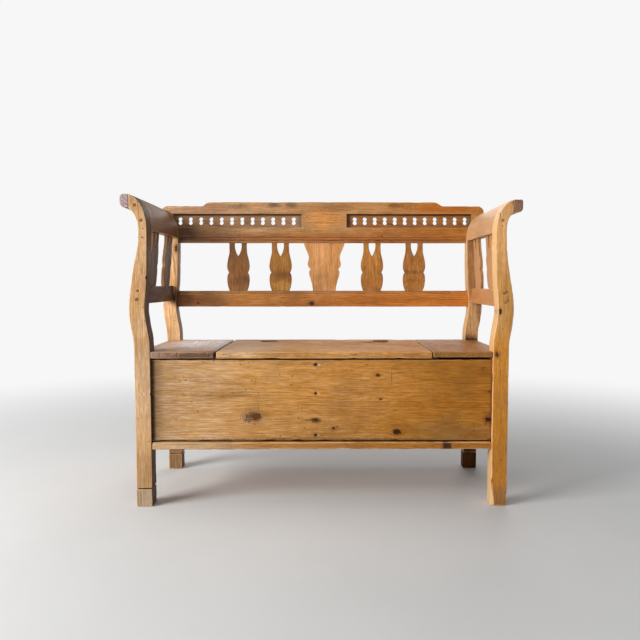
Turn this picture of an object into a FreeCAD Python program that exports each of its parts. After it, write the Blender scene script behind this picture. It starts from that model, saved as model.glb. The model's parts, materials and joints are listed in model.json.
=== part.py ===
import FreeCAD
import Part
import math
import os
from collections import namedtuple

# Pine box settle: four S-curved posts, scrolled arms and an open splat back
# over a chest whose seat lifts on two butt hinges.
# Millimetres. X is left to right from the front, Y front to back, Z up.
# The origin is on the floor in the middle of the plan.

# Overall
LEG_SPAN = 1096.0  # over the outer faces of the legs
DEPTH = 422.0  # front face of the front posts to rear face of the rear posts
SEAT_H = 460.0
LEG_W = 47.0  # posts below the seat, left to right
FRONT_POST_D = 48.0
REAR_POST_D = 42.0

# S curve of the posts above the seat. Heights are shares of the rise from the
# seat to the top of the arm, the second figures are shares of the leg's width,
# measured outwards from the leg's inner face.
CURVE_START_SHARE = 0.03
POST_INNER_SHARES = (
    (0.14, 0.12),
    (0.26, 0.28),
    (0.42, 0.175),
    (0.60, 0.10),
    (0.76, 0.07),
    (0.87, 0.17),
    (0.94, 0.45),
)
POST_OUTER_SHARES = (
    (0.14, 1.14),
    (0.26, 1.26),
    (0.42, 1.14),
    (0.58, 0.88),
)
NECK_SHARE = 0.76
SHOULDER_SHARES = (0.885, 0.93)
LEFT_NECK_W = 25.0
RIGHT_NECK_W = 32.0
SCROLL_OUT = 55.0  # leg's inner face to the seam of the arm roll
ROLL_W = 26.5
LEFT_ROLL_H = 41.0
RIGHT_ROLL_H = 37.0
LEFT_ROLL_SHARES = (0.30, 0.46)  # upper and lower rounding, of the roll's height
RIGHT_ROLL_SHARES = (0.17, 0.36)

# Arms
LEFT_RAIL_GAP = 139.0  # seat to underside of the arm rail
RIGHT_RAIL_GAP = 130.0
ARM_RAIL_H = 52.0
ARM_RAIL_T = 24.0
ARM_SPLAT_H = 166.0
LEFT_ARM_BOARD_H = 100.0
RIGHT_ARM_BOARD_H = 94.0
ARM_SPLAT_SHARES = (0.25, 0.75)  # places along the arm rail
ARM_SPLAT_SHIFT = 4.0  # foot of an arm splat, inwards of the rail's middle
ARM_PEG_SPACING = 26.0
LEFT_BOARD_PEG_SHARES = (0.24, 0.68)  # heights up the arm board
RIGHT_BOARD_PEG_SHARES = (0.36,)

# Back
MID_RAIL_GAP = 117.0  # seat to underside of the middle rail
MID_RAIL_H = 56.0
MID_RAIL_T = 20.0
MID_RAIL_REAR = 5.0  # post left behind the middle rail
MID_RAIL_TENON = 44.0  # rail's end beyond the leg's inner face
SPLAT_H = 169.0
SPLAT_T = 12.0
HOUSING = 8.0  # depth of splats and panels in their grooves
INNER_SPLAT_SHARE = 0.323  # places of splats, of half the span between the legs
OUTER_SPLAT_SHARE = 0.621
BACK_X = 5.0  # middle of the centre splat and windows, to the right of the settle's
SPLATS_X = 12.0  # middle of the four forked splats
CREST_H = 142.0
CREST_T = 24.0
CREST_STEP = 14.0  # raised middle over the ends
CREST_RAISED_SHARE = 0.788
CREST_X = -1.0  # middle of the raised part
CREST_OGEE_W = 32.0
CREST_OGEE_SHARES = ((0.26, 0.12), (0.50, 0.47), (0.72, 0.86))
CREST_OVER = 10.0  # end of the crest beyond the roll's seam
CREST_EAR_W = 23.0
CREST_EAR_H = 15.0
CREST_EAR_SHARES = (0.62, 0.28)
CREST_LAP_H = 75.0  # height at which the crest's end turns in to the post
BEAD_LOW = 7.0  # crest's lower edge to the bead
BEAD_H = 13.0
BEAD_D = 3.0
QUIRK_W = 1.5
RAIL_BEAD_LOW = 10.0
RAIL_QUIRK_W = 2.2
RAIL_QUIRK_D = 2.0

# Pierced strips behind the two windows of the crest
CENTRE_BLOCK_W = 158.0
WINDOW_LOW = 53.0
WINDOW_H = 48.0
WINDOW_PAST_POST = 23.0  # outer end beyond the leg's inner face
FRET_LAP = 5.0
FRET_T = 10.0
FRET_RECESS = 2.0  # below the crest's rear face
FRET_HOLES = 12
FRET_HOLE_R = 7.2
FRET_HOLE_RISE = 6.4  # from a figure's middle to the middle of one round
FRET_INNER_MARGIN = 29.0
FRET_OUTER_MARGIN = 21.0
FRET_PIN_R = 0.9
FRET_PIN_L = 16.0
FRET_PIN_SHARES = (0.04, 0.96)

# Outlines of the splats as shares of their widest half and of their height
FORKED_HALF_W = 39.3
FORKED_FOOT_SHARE = 0.78
FORKED_LOWER_SHARES = ((0.94, 0.11), (0.995, 0.24), (0.94, 0.34))
FORKED_NOTCH_SHARES = (0.84, 0.385)
FORKED_UPPER_SHARES = ((0.955, 0.44), (1.0, 0.54), (0.91, 0.67))
FORKED_NECK_SHARES = (0.78, 0.80)
FORK_HALF_W = 11.7
FORK_SHARES = ((0.92, 0.87), (0.52, 0.785))
FORK_TIP_SHARE = 0.72
CENTRE_HALF_W = 72.0
CENTRE_FOOT_SHARE = 0.56
CENTRE_LOWER_SHARES = ((0.585, 0.10), (0.69, 0.26), (0.745, 0.36))
CENTRE_NOTCH_SHARES = (0.68, 0.455)
CENTRE_UPPER_SHARES = ((0.81, 0.55), (0.76, 0.70), (0.86, 0.83))

# Chest
CHEST_CLEAR = 170.0  # floor to the chest's underside
FLOOR_T = 22.0
FLOOR_BOARDS = 3
BOARD_GAP = 2.0
SEAT_T = 20.0
PANEL_T = 20.0
PANEL_SETBACK = 8.0  # behind the posts' front faces
BACK_PANEL_T = 18.0
SIDE_PANEL_T = 18.0
SIDE_SETBACK = 7.0  # inside the legs' outer faces
BOTTOM_RAIL_SETBACK = 2.0
BOTTOM_RAIL_D = 38.0
TENON_L = 25.0
TENON_SHOULDER = 6.0
BATTEN_X = -18.0
BATTEN_W = 44.0
BATTEN_T = 16.0
BATTEN_END_GAP = 8.0
PANEL_NAIL_SHARES = (0.08, 0.26, 0.58, 0.925)  # heights up the front panel
BEARER_W = 40.0
BEARER_H = 36.0

# Seat
LID_W = 632.0
LID_D = 306.0
LID_X = 7.0  # lid's middle, to the right of the settle's
SEAT_GAP = 3.0  # lid to the fixed ends
LID_REAR_GAP = 2.0
CLEAT_W = 40.0
CLEAT_T = 18.0
CLEAT_SHARE = 0.73  # place across half the lid
CLEAT_FRONT = 45.0
CLEAT_REAR = 40.0

# Hinges
HINGE_SHARE = 0.60  # place across half the lid
HINGE_L = 50.0
HINGE_KNUCKLES = 3
KNUCKLE_GAP = 0.3
BARREL_R = 2.8
BARREL_RISE = 3.1  # pin's axis over the seat
PIN_R = 1.3
PIN_CLEARANCE = 0.05
LEAF_T = 2.0
LEAF_H = 16.0
LEAF_CLEARANCE = 0.4
HINGE_SCREW_SHARES = (0.2, 0.8)

# Fixings
PEG_R = 4.0
PEG_L = 88.0
PEG_CLEARANCE = 0.05
DOWEL_R = 5.0
DOWEL_L = 36.0
SEAT_DOWEL_R = 4.0
SEAT_DOWEL_UP = 11.0
SEAT_DOWEL_DOWN = 18.0
NAIL_R = 1.6
NAIL_HEAD_R = 3.2
NAIL_HEAD_T = 1.2
NAIL_L = 32.0
NAIL_SUNK = 1.5
FLOOR_NAIL_L = 50.0
SCREW_R = 1.7
SCREW_HEAD_R = 3.0
SCREW_L = 14.0
CLEAT_SCREW_L = 30.0
FOOT_H = 56.0
WORN_W = 8.0  # worn arris at the foot of the whole leg
WORN_H = 90.0
OVERRUN = 10.0

HALF_SPAN = LEG_SPAN / 2
INNER_X = HALF_SPAN - LEG_W
FRONT_Y = -DEPTH / 2
FRONT_IN_Y = FRONT_Y + FRONT_POST_D
REAR_Y = DEPTH / 2
REAR_IN_Y = REAR_Y - REAR_POST_D
CHEST_Z = CHEST_CLEAR + FLOOR_T
SEAT_LOW_Z = SEAT_H - SEAT_T
PANEL_Y = FRONT_Y + PANEL_SETBACK
PANEL_IN_Y = PANEL_Y + PANEL_T
BACK_PANEL_Y = REAR_IN_Y + BOTTOM_RAIL_SETBACK
SEAT_REAR_Y = BACK_PANEL_Y + BACK_PANEL_T
SIDE_OUT_X = HALF_SPAN - SIDE_SETBACK
SIDE_IN_X = SIDE_OUT_X - SIDE_PANEL_T
MID_RAIL_Z = SEAT_H + MID_RAIL_GAP
MID_RAIL_TOP_Z = MID_RAIL_Z + MID_RAIL_H
MID_RAIL_Y = REAR_Y - MID_RAIL_REAR - MID_RAIL_T
CREST_Z = MID_RAIL_TOP_Z + SPLAT_H
CREST_TOP_Z = CREST_Z + CREST_H
CREST_Y = REAR_Y - CREST_T
SPLAT_Y = MID_RAIL_Y + (MID_RAIL_T - SPLAT_T) / 2
ROLL_X = INNER_X + SCROLL_OUT
LID_REAR_Y = FRONT_Y + LID_D
SEAT_RAIL_Y = LID_REAR_Y + LID_REAR_GAP
SEAT_END_X = LID_W / 2 + SEAT_GAP
AXIS_Y = LID_REAR_Y + LID_REAR_GAP / 2
AXIS_Z = SEAT_H + BARREL_RISE
PEG_HOLE_R = PEG_R + PEG_CLEARANCE
DOWEL_HOLE_R = DOWEL_R + PEG_CLEARANCE

Side = namedtuple("Side", "name sign rail_gap board_h neck_w roll_h roll_shares peg_shares")
LEFT = Side(
    "left",
    -1,
    LEFT_RAIL_GAP,
    LEFT_ARM_BOARD_H,
    LEFT_NECK_W,
    LEFT_ROLL_H,
    LEFT_ROLL_SHARES,
    LEFT_BOARD_PEG_SHARES,
)
RIGHT = Side(
    "right",
    1,
    RIGHT_RAIL_GAP,
    RIGHT_ARM_BOARD_H,
    RIGHT_NECK_W,
    RIGHT_ROLL_H,
    RIGHT_ROLL_SHARES,
    RIGHT_BOARD_PEG_SHARES,
)
SIDES = (LEFT, RIGHT)

ALONG_X = FreeCAD.Vector(1, 0, 0)
ALONG_Y = FreeCAD.Vector(0, 1, 0)
ALONG_Z = FreeCAD.Vector(0, 0, 1)
parts = {}


def point(x, y, z):
    return FreeCAD.Vector(x, y, z)


def block(x0, x1, y0, y1, z0, z1):
    """Box between two planes on each axis, given in either order."""
    low = point(min(x0, x1), min(y0, y1), min(z0, z1))
    return Part.makeBox(abs(x1 - x0), abs(y1 - y0), abs(z1 - z0), low)


def rod(start, direction, length, radius):
    return Part.makeCylinder(radius, length, start, direction)


def line(a, b):
    return Part.makeLine(a, b)


def arc(a, through, b):
    return Part.Arc(a, through, b).toShape()


def curve(points):
    spline = Part.BSplineCurve()
    spline.interpolate(points)
    return spline.toShape()


def plate(edges, direction):
    """Solid swept along a direction from the closed outline of the edges."""
    wire = Part.Wire(Part.__sortEdges__(edges))
    return Part.Face(wire).extrude(direction)


def cut_all(shape, tools):
    return shape.cut(list(tools)).removeSplitter()


def group(shapes):
    return Part.makeCompound([solid for shape in shapes for solid in shape.Solids])


# Posts


def rail_z(side):
    return SEAT_H + side.rail_gap


def rail_top_z(side):
    return rail_z(side) + ARM_RAIL_H


def board_z(side):
    return rail_top_z(side) + ARM_SPLAT_H


def arm_top(side):
    return board_z(side) + side.board_h


def station(side, height_share, out_share):
    """Distance out from the leg's inner face and height of one station."""
    return (LEG_W * out_share, SEAT_H + (arm_top(side) - SEAT_H) * height_share)


def post_curves(side):
    """Inner and outer S curves of a post in the plane Y = 0, from the seat up."""
    inner = [station(side, CURVE_START_SHARE, 0)]
    inner += [station(side, *shares) for shares in POST_INNER_SHARES]
    inner.append((SCROLL_OUT, arm_top(side)))
    outer = [station(side, CURVE_START_SHARE, 1)]
    outer += [station(side, *shares) for shares in POST_OUTER_SHARES]
    neck_in, neck_z = station(side, NECK_SHARE, dict(POST_INNER_SHARES)[NECK_SHARE])
    outer.append((neck_in + side.neck_w, neck_z))
    outer.append(station(side, *SHOULDER_SHARES))
    outer.append((SCROLL_OUT, arm_top(side) - side.roll_h))
    splines = []
    for stations in (inner, outer):
        points = [point(side.sign * (INNER_X + out), 0, z) for out, z in stations]
        tangents = [ALONG_Z] + [point(0, 0, 1)] * (len(points) - 1)
        flags = [True] + [False] * (len(points) - 1)
        spline = Part.BSplineCurve()
        spline.interpolate(Points=points, Tangents=tangents, TangentFlags=flags)
        splines.append(spline)
    return splines


def x_at(spline, z):
    """X of a rising curve at a height, by halving."""
    low, high = spline.FirstParameter, spline.LastParameter
    for _ in range(40):
        middle = (low + high) / 2
        if spline.value(middle).z < z:
            low = middle
        else:
            high = middle
    return spline.value(low).x


def post_middle_x(side, z):
    inner, outer = post_curves(side)
    return (x_at(inner, z) + x_at(outer, z)) / 2


def post_body(side, y0, y1, low_z):
    """Post between two depths, from a height up to the seam of the arm roll."""
    inner, outer = post_curves(side)
    inner_foot = point(side.sign * INNER_X, 0, low_z)
    outer_foot = point(side.sign * HALF_SPAN, 0, low_z)
    edges = [
        line(inner_foot, outer_foot),
        line(outer_foot, outer.StartPoint),
        outer.toShape(),
        line(outer.EndPoint, inner.EndPoint),
        inner.toShape(),
        line(inner.StartPoint, inner_foot),
    ]
    body = plate(edges, ALONG_Y * (y1 - y0))
    body.translate(ALONG_Y * y0)
    return body


def peg_places(side):
    """X and Z of the pegs through an arm's rail and board."""
    rail_middle = rail_z(side) + ARM_RAIL_H / 2
    heights = [rail_middle - ARM_PEG_SPACING / 2, rail_middle + ARM_PEG_SPACING / 2]
    heights += [board_z(side) + side.board_h * share for share in side.peg_shares]
    return [(post_middle_x(side, z), z) for z in heights]


def arm_pegs(side, radius):
    """Pegs of one arm, driven from the front and from the rear faces."""
    front = [rod(point(x, FRONT_Y, z), ALONG_Y, PEG_L, radius) for x, z in peg_places(side)]
    rear = [rod(point(x, REAR_Y, z), -ALONG_Y, PEG_L, radius) for x, z in peg_places(side)]
    return front, rear


def roll_dowels(side, radius):
    """Dowels that hold an arm roll to its two posts."""
    z = arm_top(side) - side.roll_h / 2
    places = (FRONT_Y + FRONT_POST_D / 2, (REAR_IN_Y + CREST_Y) / 2)
    start_x = side.sign * (ROLL_X - DOWEL_L / 2)
    return [rod(point(start_x, y, z), ALONG_X * side.sign, DOWEL_L, radius) for y in places]


def foot_dowel(side, y_middle, radius):
    x = side.sign * (HALF_SPAN - LEG_W / 2)
    return rod(point(x, y_middle, FOOT_H - DOWEL_L / 2), ALONG_Z, DOWEL_L, radius)


def worn_corner():
    """Corner worn off the inner front arris of the right front foot."""
    corner = point(INNER_X, FRONT_Y, 0)
    across = point(INNER_X + WORN_W, FRONT_Y, 0)
    behind = point(INNER_X, FRONT_Y + WORN_W, 0)
    above = point(INNER_X, FRONT_Y, WORN_H)
    triangles = (
        (corner, across, behind),
        (corner, above, across),
        (corner, behind, above),
        (across, above, behind),
    )
    faces = [Part.Face(Part.makePolygon([a, b, c, a])) for a, b, c in triangles]
    return Part.Solid(Part.Shell(faces))


# Splats


def splat_edges(half_w, height, lower, notch, upper, neck, foot_share, top):
    """One long edge of a splat on the positive side, foot to top, as (across, up) curves."""
    foot = (half_w * foot_share, 0)
    lower_points = [foot] + [(half_w * a, height * b) for a, b in lower]
    notch_point = (half_w * notch[0], height * notch[1])
    upper_points = [notch_point] + [(half_w * a, height * b) for a, b in upper]
    if neck is not None:
        upper_points.append((half_w * neck[0], height * neck[1]))
    else:
        upper_points.append(top)
    return foot, lower_points + [notch_point], upper_points


def flat(points, sign):
    return [point(sign * across, 0, up) for across, up in points]


def splat(half_w, height, lower, notch, upper, neck, foot_share, fork):
    """Splat standing on Z = 0 with its front face on Y = 0, housed at both ends."""
    top = (half_w * (neck[0] if neck is not None else 1), height)
    foot, lower_points, upper_points = splat_edges(half_w, height, lower, notch, upper, neck, foot_share, top)
    edges = []
    for sign in (-1, 1):
        housed_foot = point(sign * foot[0], 0, -HOUSING)
        housed_top = point(sign * top[0], 0, height + HOUSING)
        edges.append(line(housed_foot, point(sign * foot[0], 0, foot[1])))
        edges.append(curve(flat(lower_points, sign)))
        edges.append(curve(flat(upper_points, sign)))
        edges.append(line(flat(upper_points, sign)[-1], housed_top))
    edges.append(line(point(-foot[0], 0, -HOUSING), point(foot[0], 0, -HOUSING)))
    if fork:
        slot = [(FORK_HALF_W, height)]
        slot += [(FORK_HALF_W * a, height * b) for a, b in FORK_SHARES]
        slot.append((0, height * FORK_TIP_SHARE))
        for sign in (-1, 1):
            mouth = point(sign * FORK_HALF_W, 0, height + HOUSING)
            edges.append(curve(flat(slot, sign)))
            edges.append(line(mouth, point(sign * FORK_HALF_W, 0, height)))
            edges.append(line(mouth, point(sign * top[0], 0, height + HOUSING)))
    else:
        edges.append(line(point(-top[0], 0, height + HOUSING), point(top[0], 0, height + HOUSING)))
    return plate(edges, ALONG_Y * SPLAT_T)


def forked_splat(height):
    return splat(
        FORKED_HALF_W,
        height,
        FORKED_LOWER_SHARES,
        FORKED_NOTCH_SHARES,
        FORKED_UPPER_SHARES,
        FORKED_NECK_SHARES,
        FORKED_FOOT_SHARE,
        True,
    )


def centre_splat():
    return splat(
        CENTRE_HALF_W,
        SPLAT_H,
        CENTRE_LOWER_SHARES,
        CENTRE_NOTCH_SHARES,
        CENTRE_UPPER_SHARES,
        None,
        CENTRE_FOOT_SHARE,
        False,
    )


def make_back_splats():
    inner = INNER_X * INNER_SPLAT_SHARE
    outer = INNER_X * OUTER_SPLAT_SHARE
    places = {
        "outer_left_splat": SPLATS_X - outer,
        "inner_left_splat": SPLATS_X - inner,
        "centre_splat": BACK_X,
        "inner_right_splat": SPLATS_X + inner,
        "outer_right_splat": SPLATS_X + outer,
    }
    for name, x in places.items():
        shape = centre_splat() if name == "centre_splat" else forked_splat(SPLAT_H)
        shape.translate(point(x, SPLAT_Y, MID_RAIL_TOP_Z))
        parts[name] = shape
    return [parts[name] for name in places]


def make_arm_splats(side):
    """Two splats leaning from the arm rail in to the arm board."""
    rail_x = post_middle_x(side, rail_z(side) + ARM_RAIL_H / 2)
    foot_x = rail_x - side.sign * ARM_SPLAT_SHIFT
    head_x = post_middle_x(side, board_z(side))
    length = math.hypot(head_x - foot_x, ARM_SPLAT_H)
    lean = math.degrees(math.atan2(head_x - foot_x, ARM_SPLAT_H))
    made = []
    for place, share in zip(("front", "rear"), ARM_SPLAT_SHARES):
        shape = forked_splat(length)
        shape.translate(ALONG_Y * (-SPLAT_T / 2))
        shape.rotate(point(0, 0, 0), ALONG_Z, 90)
        shape.rotate(point(0, 0, 0), ALONG_Y, lean)
        y = FRONT_IN_Y + (REAR_IN_Y - FRONT_IN_Y) * share
        shape.translate(point(foot_x, y, rail_top_z(side)))
        parts["%s_arm_splat_%s" % (side.name, place)] = shape
        made.append(shape)
    return made


# Back


def crest_outline():
    """Edges of the crest board in the plane Y = 0, with its two lapped ends."""
    raised_x = INNER_X * CREST_RAISED_SHARE
    low_z = CREST_TOP_Z - CREST_STEP
    end_x = ROLL_X + CREST_OVER
    edges = [line(point(CREST_X - raised_x, 0, CREST_TOP_Z), point(CREST_X + raised_x, 0, CREST_TOP_Z))]
    bottom = []
    for side in SIDES:
        sign = side.sign
        ogee = [
            point(CREST_X + sign * (raised_x + CREST_OGEE_W * a), 0, CREST_TOP_Z - CREST_STEP * b)
            for a, b in ((0, 0),) + CREST_OGEE_SHARES + ((1, 1),)
        ]
        ear_start = point(sign * (end_x - CREST_EAR_W), 0, low_z)
        ear_middle = point(
            sign * (end_x - CREST_EAR_W + CREST_EAR_W * CREST_EAR_SHARES[0]),
            0,
            low_z - CREST_EAR_H * CREST_EAR_SHARES[1],
        )
        ear_end = point(sign * end_x, 0, low_z - CREST_EAR_H)
        turn = point(sign * end_x, 0, CREST_Z + CREST_LAP_H)
        corner = point(x_at(post_curves(side)[1], CREST_Z), 0, CREST_Z)
        edges += [
            arc(*ogee[:3]),
            arc(*ogee[2:]),
            line(ogee[-1], ear_start),
            arc(ear_start, ear_middle, ear_end),
            line(ear_end, turn),
            line(turn, corner),
        ]
        bottom.append(corner)
    edges.append(line(*bottom))
    return edges


def crest_blank():
    blank = plate(crest_outline(), ALONG_Y * CREST_T)
    blank.translate(ALONG_Y * CREST_Y)
    return blank


def crest_bead():
    """Hollow that leaves a round bead between two quirks along the crest's foot."""
    reach = ROLL_X + CREST_OVER + OVERRUN
    low_z = CREST_Z + BEAD_LOW
    trench = block(-reach, reach, CREST_Y, CREST_Y + BEAD_D, low_z, low_z + BEAD_H)
    half = BEAD_H / 2 - QUIRK_W
    radius = (half * half + BEAD_D * BEAD_D) / (2 * BEAD_D)
    middle = point(-reach, CREST_Y + radius, low_z + BEAD_H / 2)
    return trench.cut(rod(middle, ALONG_X, reach * 2, radius))


def window(sign, lap):
    """X and Z limits of a crest window, let out on all sides by a lap."""
    inner = BACK_X + sign * (CENTRE_BLOCK_W / 2 - lap)
    outer = sign * (INNER_X + WINDOW_PAST_POST + lap)
    low = CREST_Z + WINDOW_LOW - lap
    return inner, outer, low, low + WINDOW_H + lap * 2


def fret_hole(x, z):
    """Wire of one figure of eight, two rounds joined at their crossing."""
    waist = math.sqrt(FRET_HOLE_R**2 - FRET_HOLE_RISE**2)
    right = point(x + waist, 0, z)
    left = point(x - waist, 0, z)
    top = point(x, 0, z + FRET_HOLE_RISE + FRET_HOLE_R)
    bottom = point(x, 0, z - FRET_HOLE_RISE - FRET_HOLE_R)
    return Part.Wire([arc(right, top, left), arc(left, bottom, right)])


def fret_pins(sign, radius):
    """Brads through the upper and lower laps of a pierced strip."""
    inner, outer, low, high = window(sign, FRET_LAP / 2)
    start_y = REAR_Y - FRET_RECESS
    return [
        rod(point(inner + (outer - inner) * share, start_y, z), -ALONG_Y, FRET_PIN_L, radius)
        for share in FRET_PIN_SHARES
        for z in (low, high)
    ]


def make_fret(side):
    inner, outer, low, high = window(side.sign, FRET_LAP)
    corners = [point(inner, 0, low), point(outer, 0, low), point(outer, 0, high), point(inner, 0, high)]
    wires = [Part.makePolygon(corners + corners[:1])]
    first = BACK_X + side.sign * (CENTRE_BLOCK_W / 2 + FRET_INNER_MARGIN)
    last = side.sign * (INNER_X + WINDOW_PAST_POST - FRET_OUTER_MARGIN)
    pitch = (last - first) / (FRET_HOLES - 1)
    wires += [
        fret_hole(first + pitch * step, (low + high) / 2) for step in range(FRET_HOLES)
    ]
    strip = Part.Face(wires[0])
    strip = strip.cut([Part.Face(wire) for wire in wires[1:]]).Faces[0]
    strip = strip.extrude(ALONG_Y * FRET_T)
    strip.translate(ALONG_Y * (REAR_Y - FRET_RECESS - FRET_T))
    return cut_all(strip, fret_pins(side.sign, FRET_PIN_R))


def make_crest(splats, pegs):
    tools = list(splats) + list(pegs) + [crest_bead()]
    for side in SIDES:
        inner, outer, low, high = window(side.sign, 0)
        tools.append(block(inner, outer, CREST_Y - OVERRUN, REAR_Y + OVERRUN, low, high))
        inner, outer, low, high = window(side.sign, FRET_LAP)
        fret_y = REAR_Y - FRET_RECESS - FRET_T
        tools.append(block(inner, outer, fret_y, REAR_Y + OVERRUN, low, high))
        tools += fret_pins(side.sign, FRET_PIN_R)
    return cut_all(crest_blank(), tools)


def make_mid_rail(splats, pegs):
    """Middle rail with housed ends and a quirk that leaves a bead along its top."""
    end_x = INNER_X + MID_RAIL_TENON
    rail = block(-end_x, end_x, MID_RAIL_Y, MID_RAIL_Y + MID_RAIL_T, MID_RAIL_Z, MID_RAIL_TOP_Z)
    quirk_z = MID_RAIL_TOP_Z - RAIL_BEAD_LOW
    corners = [
        point(-INNER_X, MID_RAIL_Y, quirk_z - RAIL_QUIRK_W / 2),
        point(-INNER_X, MID_RAIL_Y + RAIL_QUIRK_D, quirk_z),
        point(-INNER_X, MID_RAIL_Y, quirk_z + RAIL_QUIRK_W / 2),
    ]
    quirk = Part.Face(Part.makePolygon(corners + corners[:1])).extrude(ALONG_X * (INNER_X * 2))
    return cut_all(rail, list(splats) + list(pegs) + [quirk])


# Arms


def make_arm_board(side, splats, pegs, dowels):
    body = post_body(side, FRONT_IN_Y, REAR_IN_Y, SEAT_H)
    reach = HALF_SPAN + SCROLL_OUT + ROLL_W
    below = block(-reach, reach, FRONT_IN_Y - OVERRUN, REAR_IN_Y + OVERRUN, SEAT_H - OVERRUN, board_z(side))
    return cut_all(body, [below] + list(splats) + list(pegs) + list(dowels))


def make_arm_rail(side, splats, pegs):
    middle = post_middle_x(side, rail_z(side) + ARM_RAIL_H / 2)
    rail = block(
        middle - ARM_RAIL_T / 2,
        middle + ARM_RAIL_T / 2,
        FRONT_IN_Y,
        REAR_IN_Y,
        rail_z(side),
        rail_top_z(side),
    )
    return cut_all(rail, list(splats) + list(pegs))


def make_roll(side, dowels):
    """Roll along an arm's outer top edge, from the front to the crest."""
    low, high = arm_top(side) - side.roll_h, arm_top(side)
    seam, tip = side.sign * ROLL_X, side.sign * (ROLL_X + ROLL_W)
    upper, lower = [side.roll_h * share for share in side.roll_shares]
    edges = [line(point(seam, FRONT_Y, low), point(seam, FRONT_Y, high))]
    corner_low = point(tip, FRONT_Y, low + lower)
    corner_high = point(tip, FRONT_Y, high - upper)
    foot = point(tip - side.sign * lower, FRONT_Y, low)
    head = point(tip - side.sign * upper, FRONT_Y, high)
    diagonal = math.sqrt(2) / 2
    low_middle = point(foot.x + side.sign * lower * diagonal, FRONT_Y, low + lower - lower * diagonal)
    high_middle = point(head.x + side.sign * upper * diagonal, FRONT_Y, high - upper + upper * diagonal)
    edges += [
        line(point(seam, FRONT_Y, high), head),
        arc(head, high_middle, corner_high),
        line(corner_high, corner_low),
        arc(corner_low, low_middle, foot),
        line(foot, point(seam, FRONT_Y, low)),
    ]
    return cut_all(plate(edges, ALONG_Y * (CREST_Y - FRONT_Y)), dowels)


# Chest


def tenoned_rail(y0, y1):
    """Rail between two legs at the chest's floor, with a shouldered tenon at each end."""
    body = block(-INNER_X, INNER_X, y0, y1, CHEST_CLEAR, CHEST_Z)
    reach = INNER_X + TENON_L
    tenon = block(
        -reach,
        reach,
        y0 + TENON_SHOULDER,
        y1 - TENON_SHOULDER,
        CHEST_CLEAR + TENON_SHOULDER,
        CHEST_Z - TENON_SHOULDER,
    )
    return body.fuse(tenon).removeSplitter()


def bearer(side):
    """Cross bearer under the joint of lid and seat end, housed in both panels."""
    middle = LID_X + side.sign * (LID_W / 2)
    return block(
        middle - BEARER_W / 2,
        middle + BEARER_W / 2,
        PANEL_IN_Y - HOUSING,
        BACK_PANEL_Y + HOUSING,
        SEAT_LOW_Z - BEARER_H,
        SEAT_LOW_Z,
    )


def nail(start, direction, length):
    head = rod(start, direction, NAIL_HEAD_T, NAIL_HEAD_R)
    return head.fuse(rod(start, direction, length, NAIL_R)).removeSplitter()


def panel_nails():
    span = SEAT_LOW_Z - CHEST_Z
    return [
        nail(point(BATTEN_X, PANEL_Y + NAIL_SUNK, CHEST_Z + span * share), ALONG_Y, NAIL_L)
        for share in PANEL_NAIL_SHARES
    ]


def nail_wells():
    """Sunk holes over the heads of the front panel's nails."""
    span = SEAT_LOW_Z - CHEST_Z
    return [
        rod(point(BATTEN_X, PANEL_Y - OVERRUN, CHEST_Z + span * share), ALONG_Y, OVERRUN + NAIL_SUNK, NAIL_HEAD_R)
        for share in PANEL_NAIL_SHARES
    ]


def floor_limits():
    """Front and rear edge of each floor board."""
    width = (REAR_IN_Y - FRONT_IN_Y - BOARD_GAP * (FLOOR_BOARDS - 1)) / FLOOR_BOARDS
    fronts = [FRONT_IN_Y + (width + BOARD_GAP) * step for step in range(FLOOR_BOARDS)]
    return [(front, front + width) for front in fronts]


def floor_nails():
    made = []
    x = (SIDE_IN_X + SIDE_OUT_X) / 2
    for front, rear in floor_limits():
        quarter = (rear - front) / 4
        for y in (front + quarter, rear - quarter):
            made += [nail(point(sign * x, y, CHEST_CLEAR), ALONG_Z, FLOOR_NAIL_L) for sign in (-1, 1)]
    return made


def make_chest(bearers):
    front_rail_y = FRONT_Y + BOTTOM_RAIL_SETBACK
    parts["front_bottom_rail"] = tenoned_rail(front_rail_y, front_rail_y + BOTTOM_RAIL_D)
    rear_rail_y = REAR_IN_Y + BOTTOM_RAIL_SETBACK
    parts["rear_bottom_rail"] = tenoned_rail(rear_rail_y, rear_rail_y + BOTTOM_RAIL_D)
    housed_x = INNER_X + HOUSING
    nails = panel_nails()
    front = block(-housed_x, housed_x, PANEL_Y, PANEL_IN_Y, CHEST_Z, SEAT_LOW_Z)
    parts["front_panel"] = cut_all(front, bearers + nails + nail_wells())
    batten = block(
        BATTEN_X - BATTEN_W / 2,
        BATTEN_X + BATTEN_W / 2,
        PANEL_IN_Y,
        PANEL_IN_Y + BATTEN_T,
        CHEST_Z + BATTEN_END_GAP,
        SEAT_LOW_Z - BATTEN_END_GAP,
    )
    parts["front_panel_batten"] = cut_all(batten, nails)
    parts["front_panel_nails"] = group(nails)
    back = block(-housed_x, housed_x, BACK_PANEL_Y, SEAT_REAR_Y, CHEST_Z, SEAT_LOW_Z)
    dowels = seat_dowels(SEAT_DOWEL_R + PEG_CLEARANCE)
    parts["back_panel"] = cut_all(back, bearers + dowels)
    fixings = floor_nails()
    for side in SIDES:
        panel = block(
            side.sign * SIDE_IN_X,
            side.sign * SIDE_OUT_X,
            FRONT_IN_Y - HOUSING,
            REAR_IN_Y + HOUSING,
            CHEST_Z,
            SEAT_LOW_Z,
        )
        parts["%s_side_panel" % side.name] = cut_all(panel, fixings + dowels)
        parts["%s_seat_bearer" % side.name] = cut_all(bearer(side), dowels)
    for number, (front_y, rear_y) in enumerate(floor_limits(), 1):
        board = block(-SIDE_OUT_X, SIDE_OUT_X, front_y, rear_y, CHEST_CLEAR, CHEST_Z)
        parts["floor_board_%d" % number] = cut_all(board, fixings)
    parts["floor_nails"] = group(fixings)


# Seat


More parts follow.
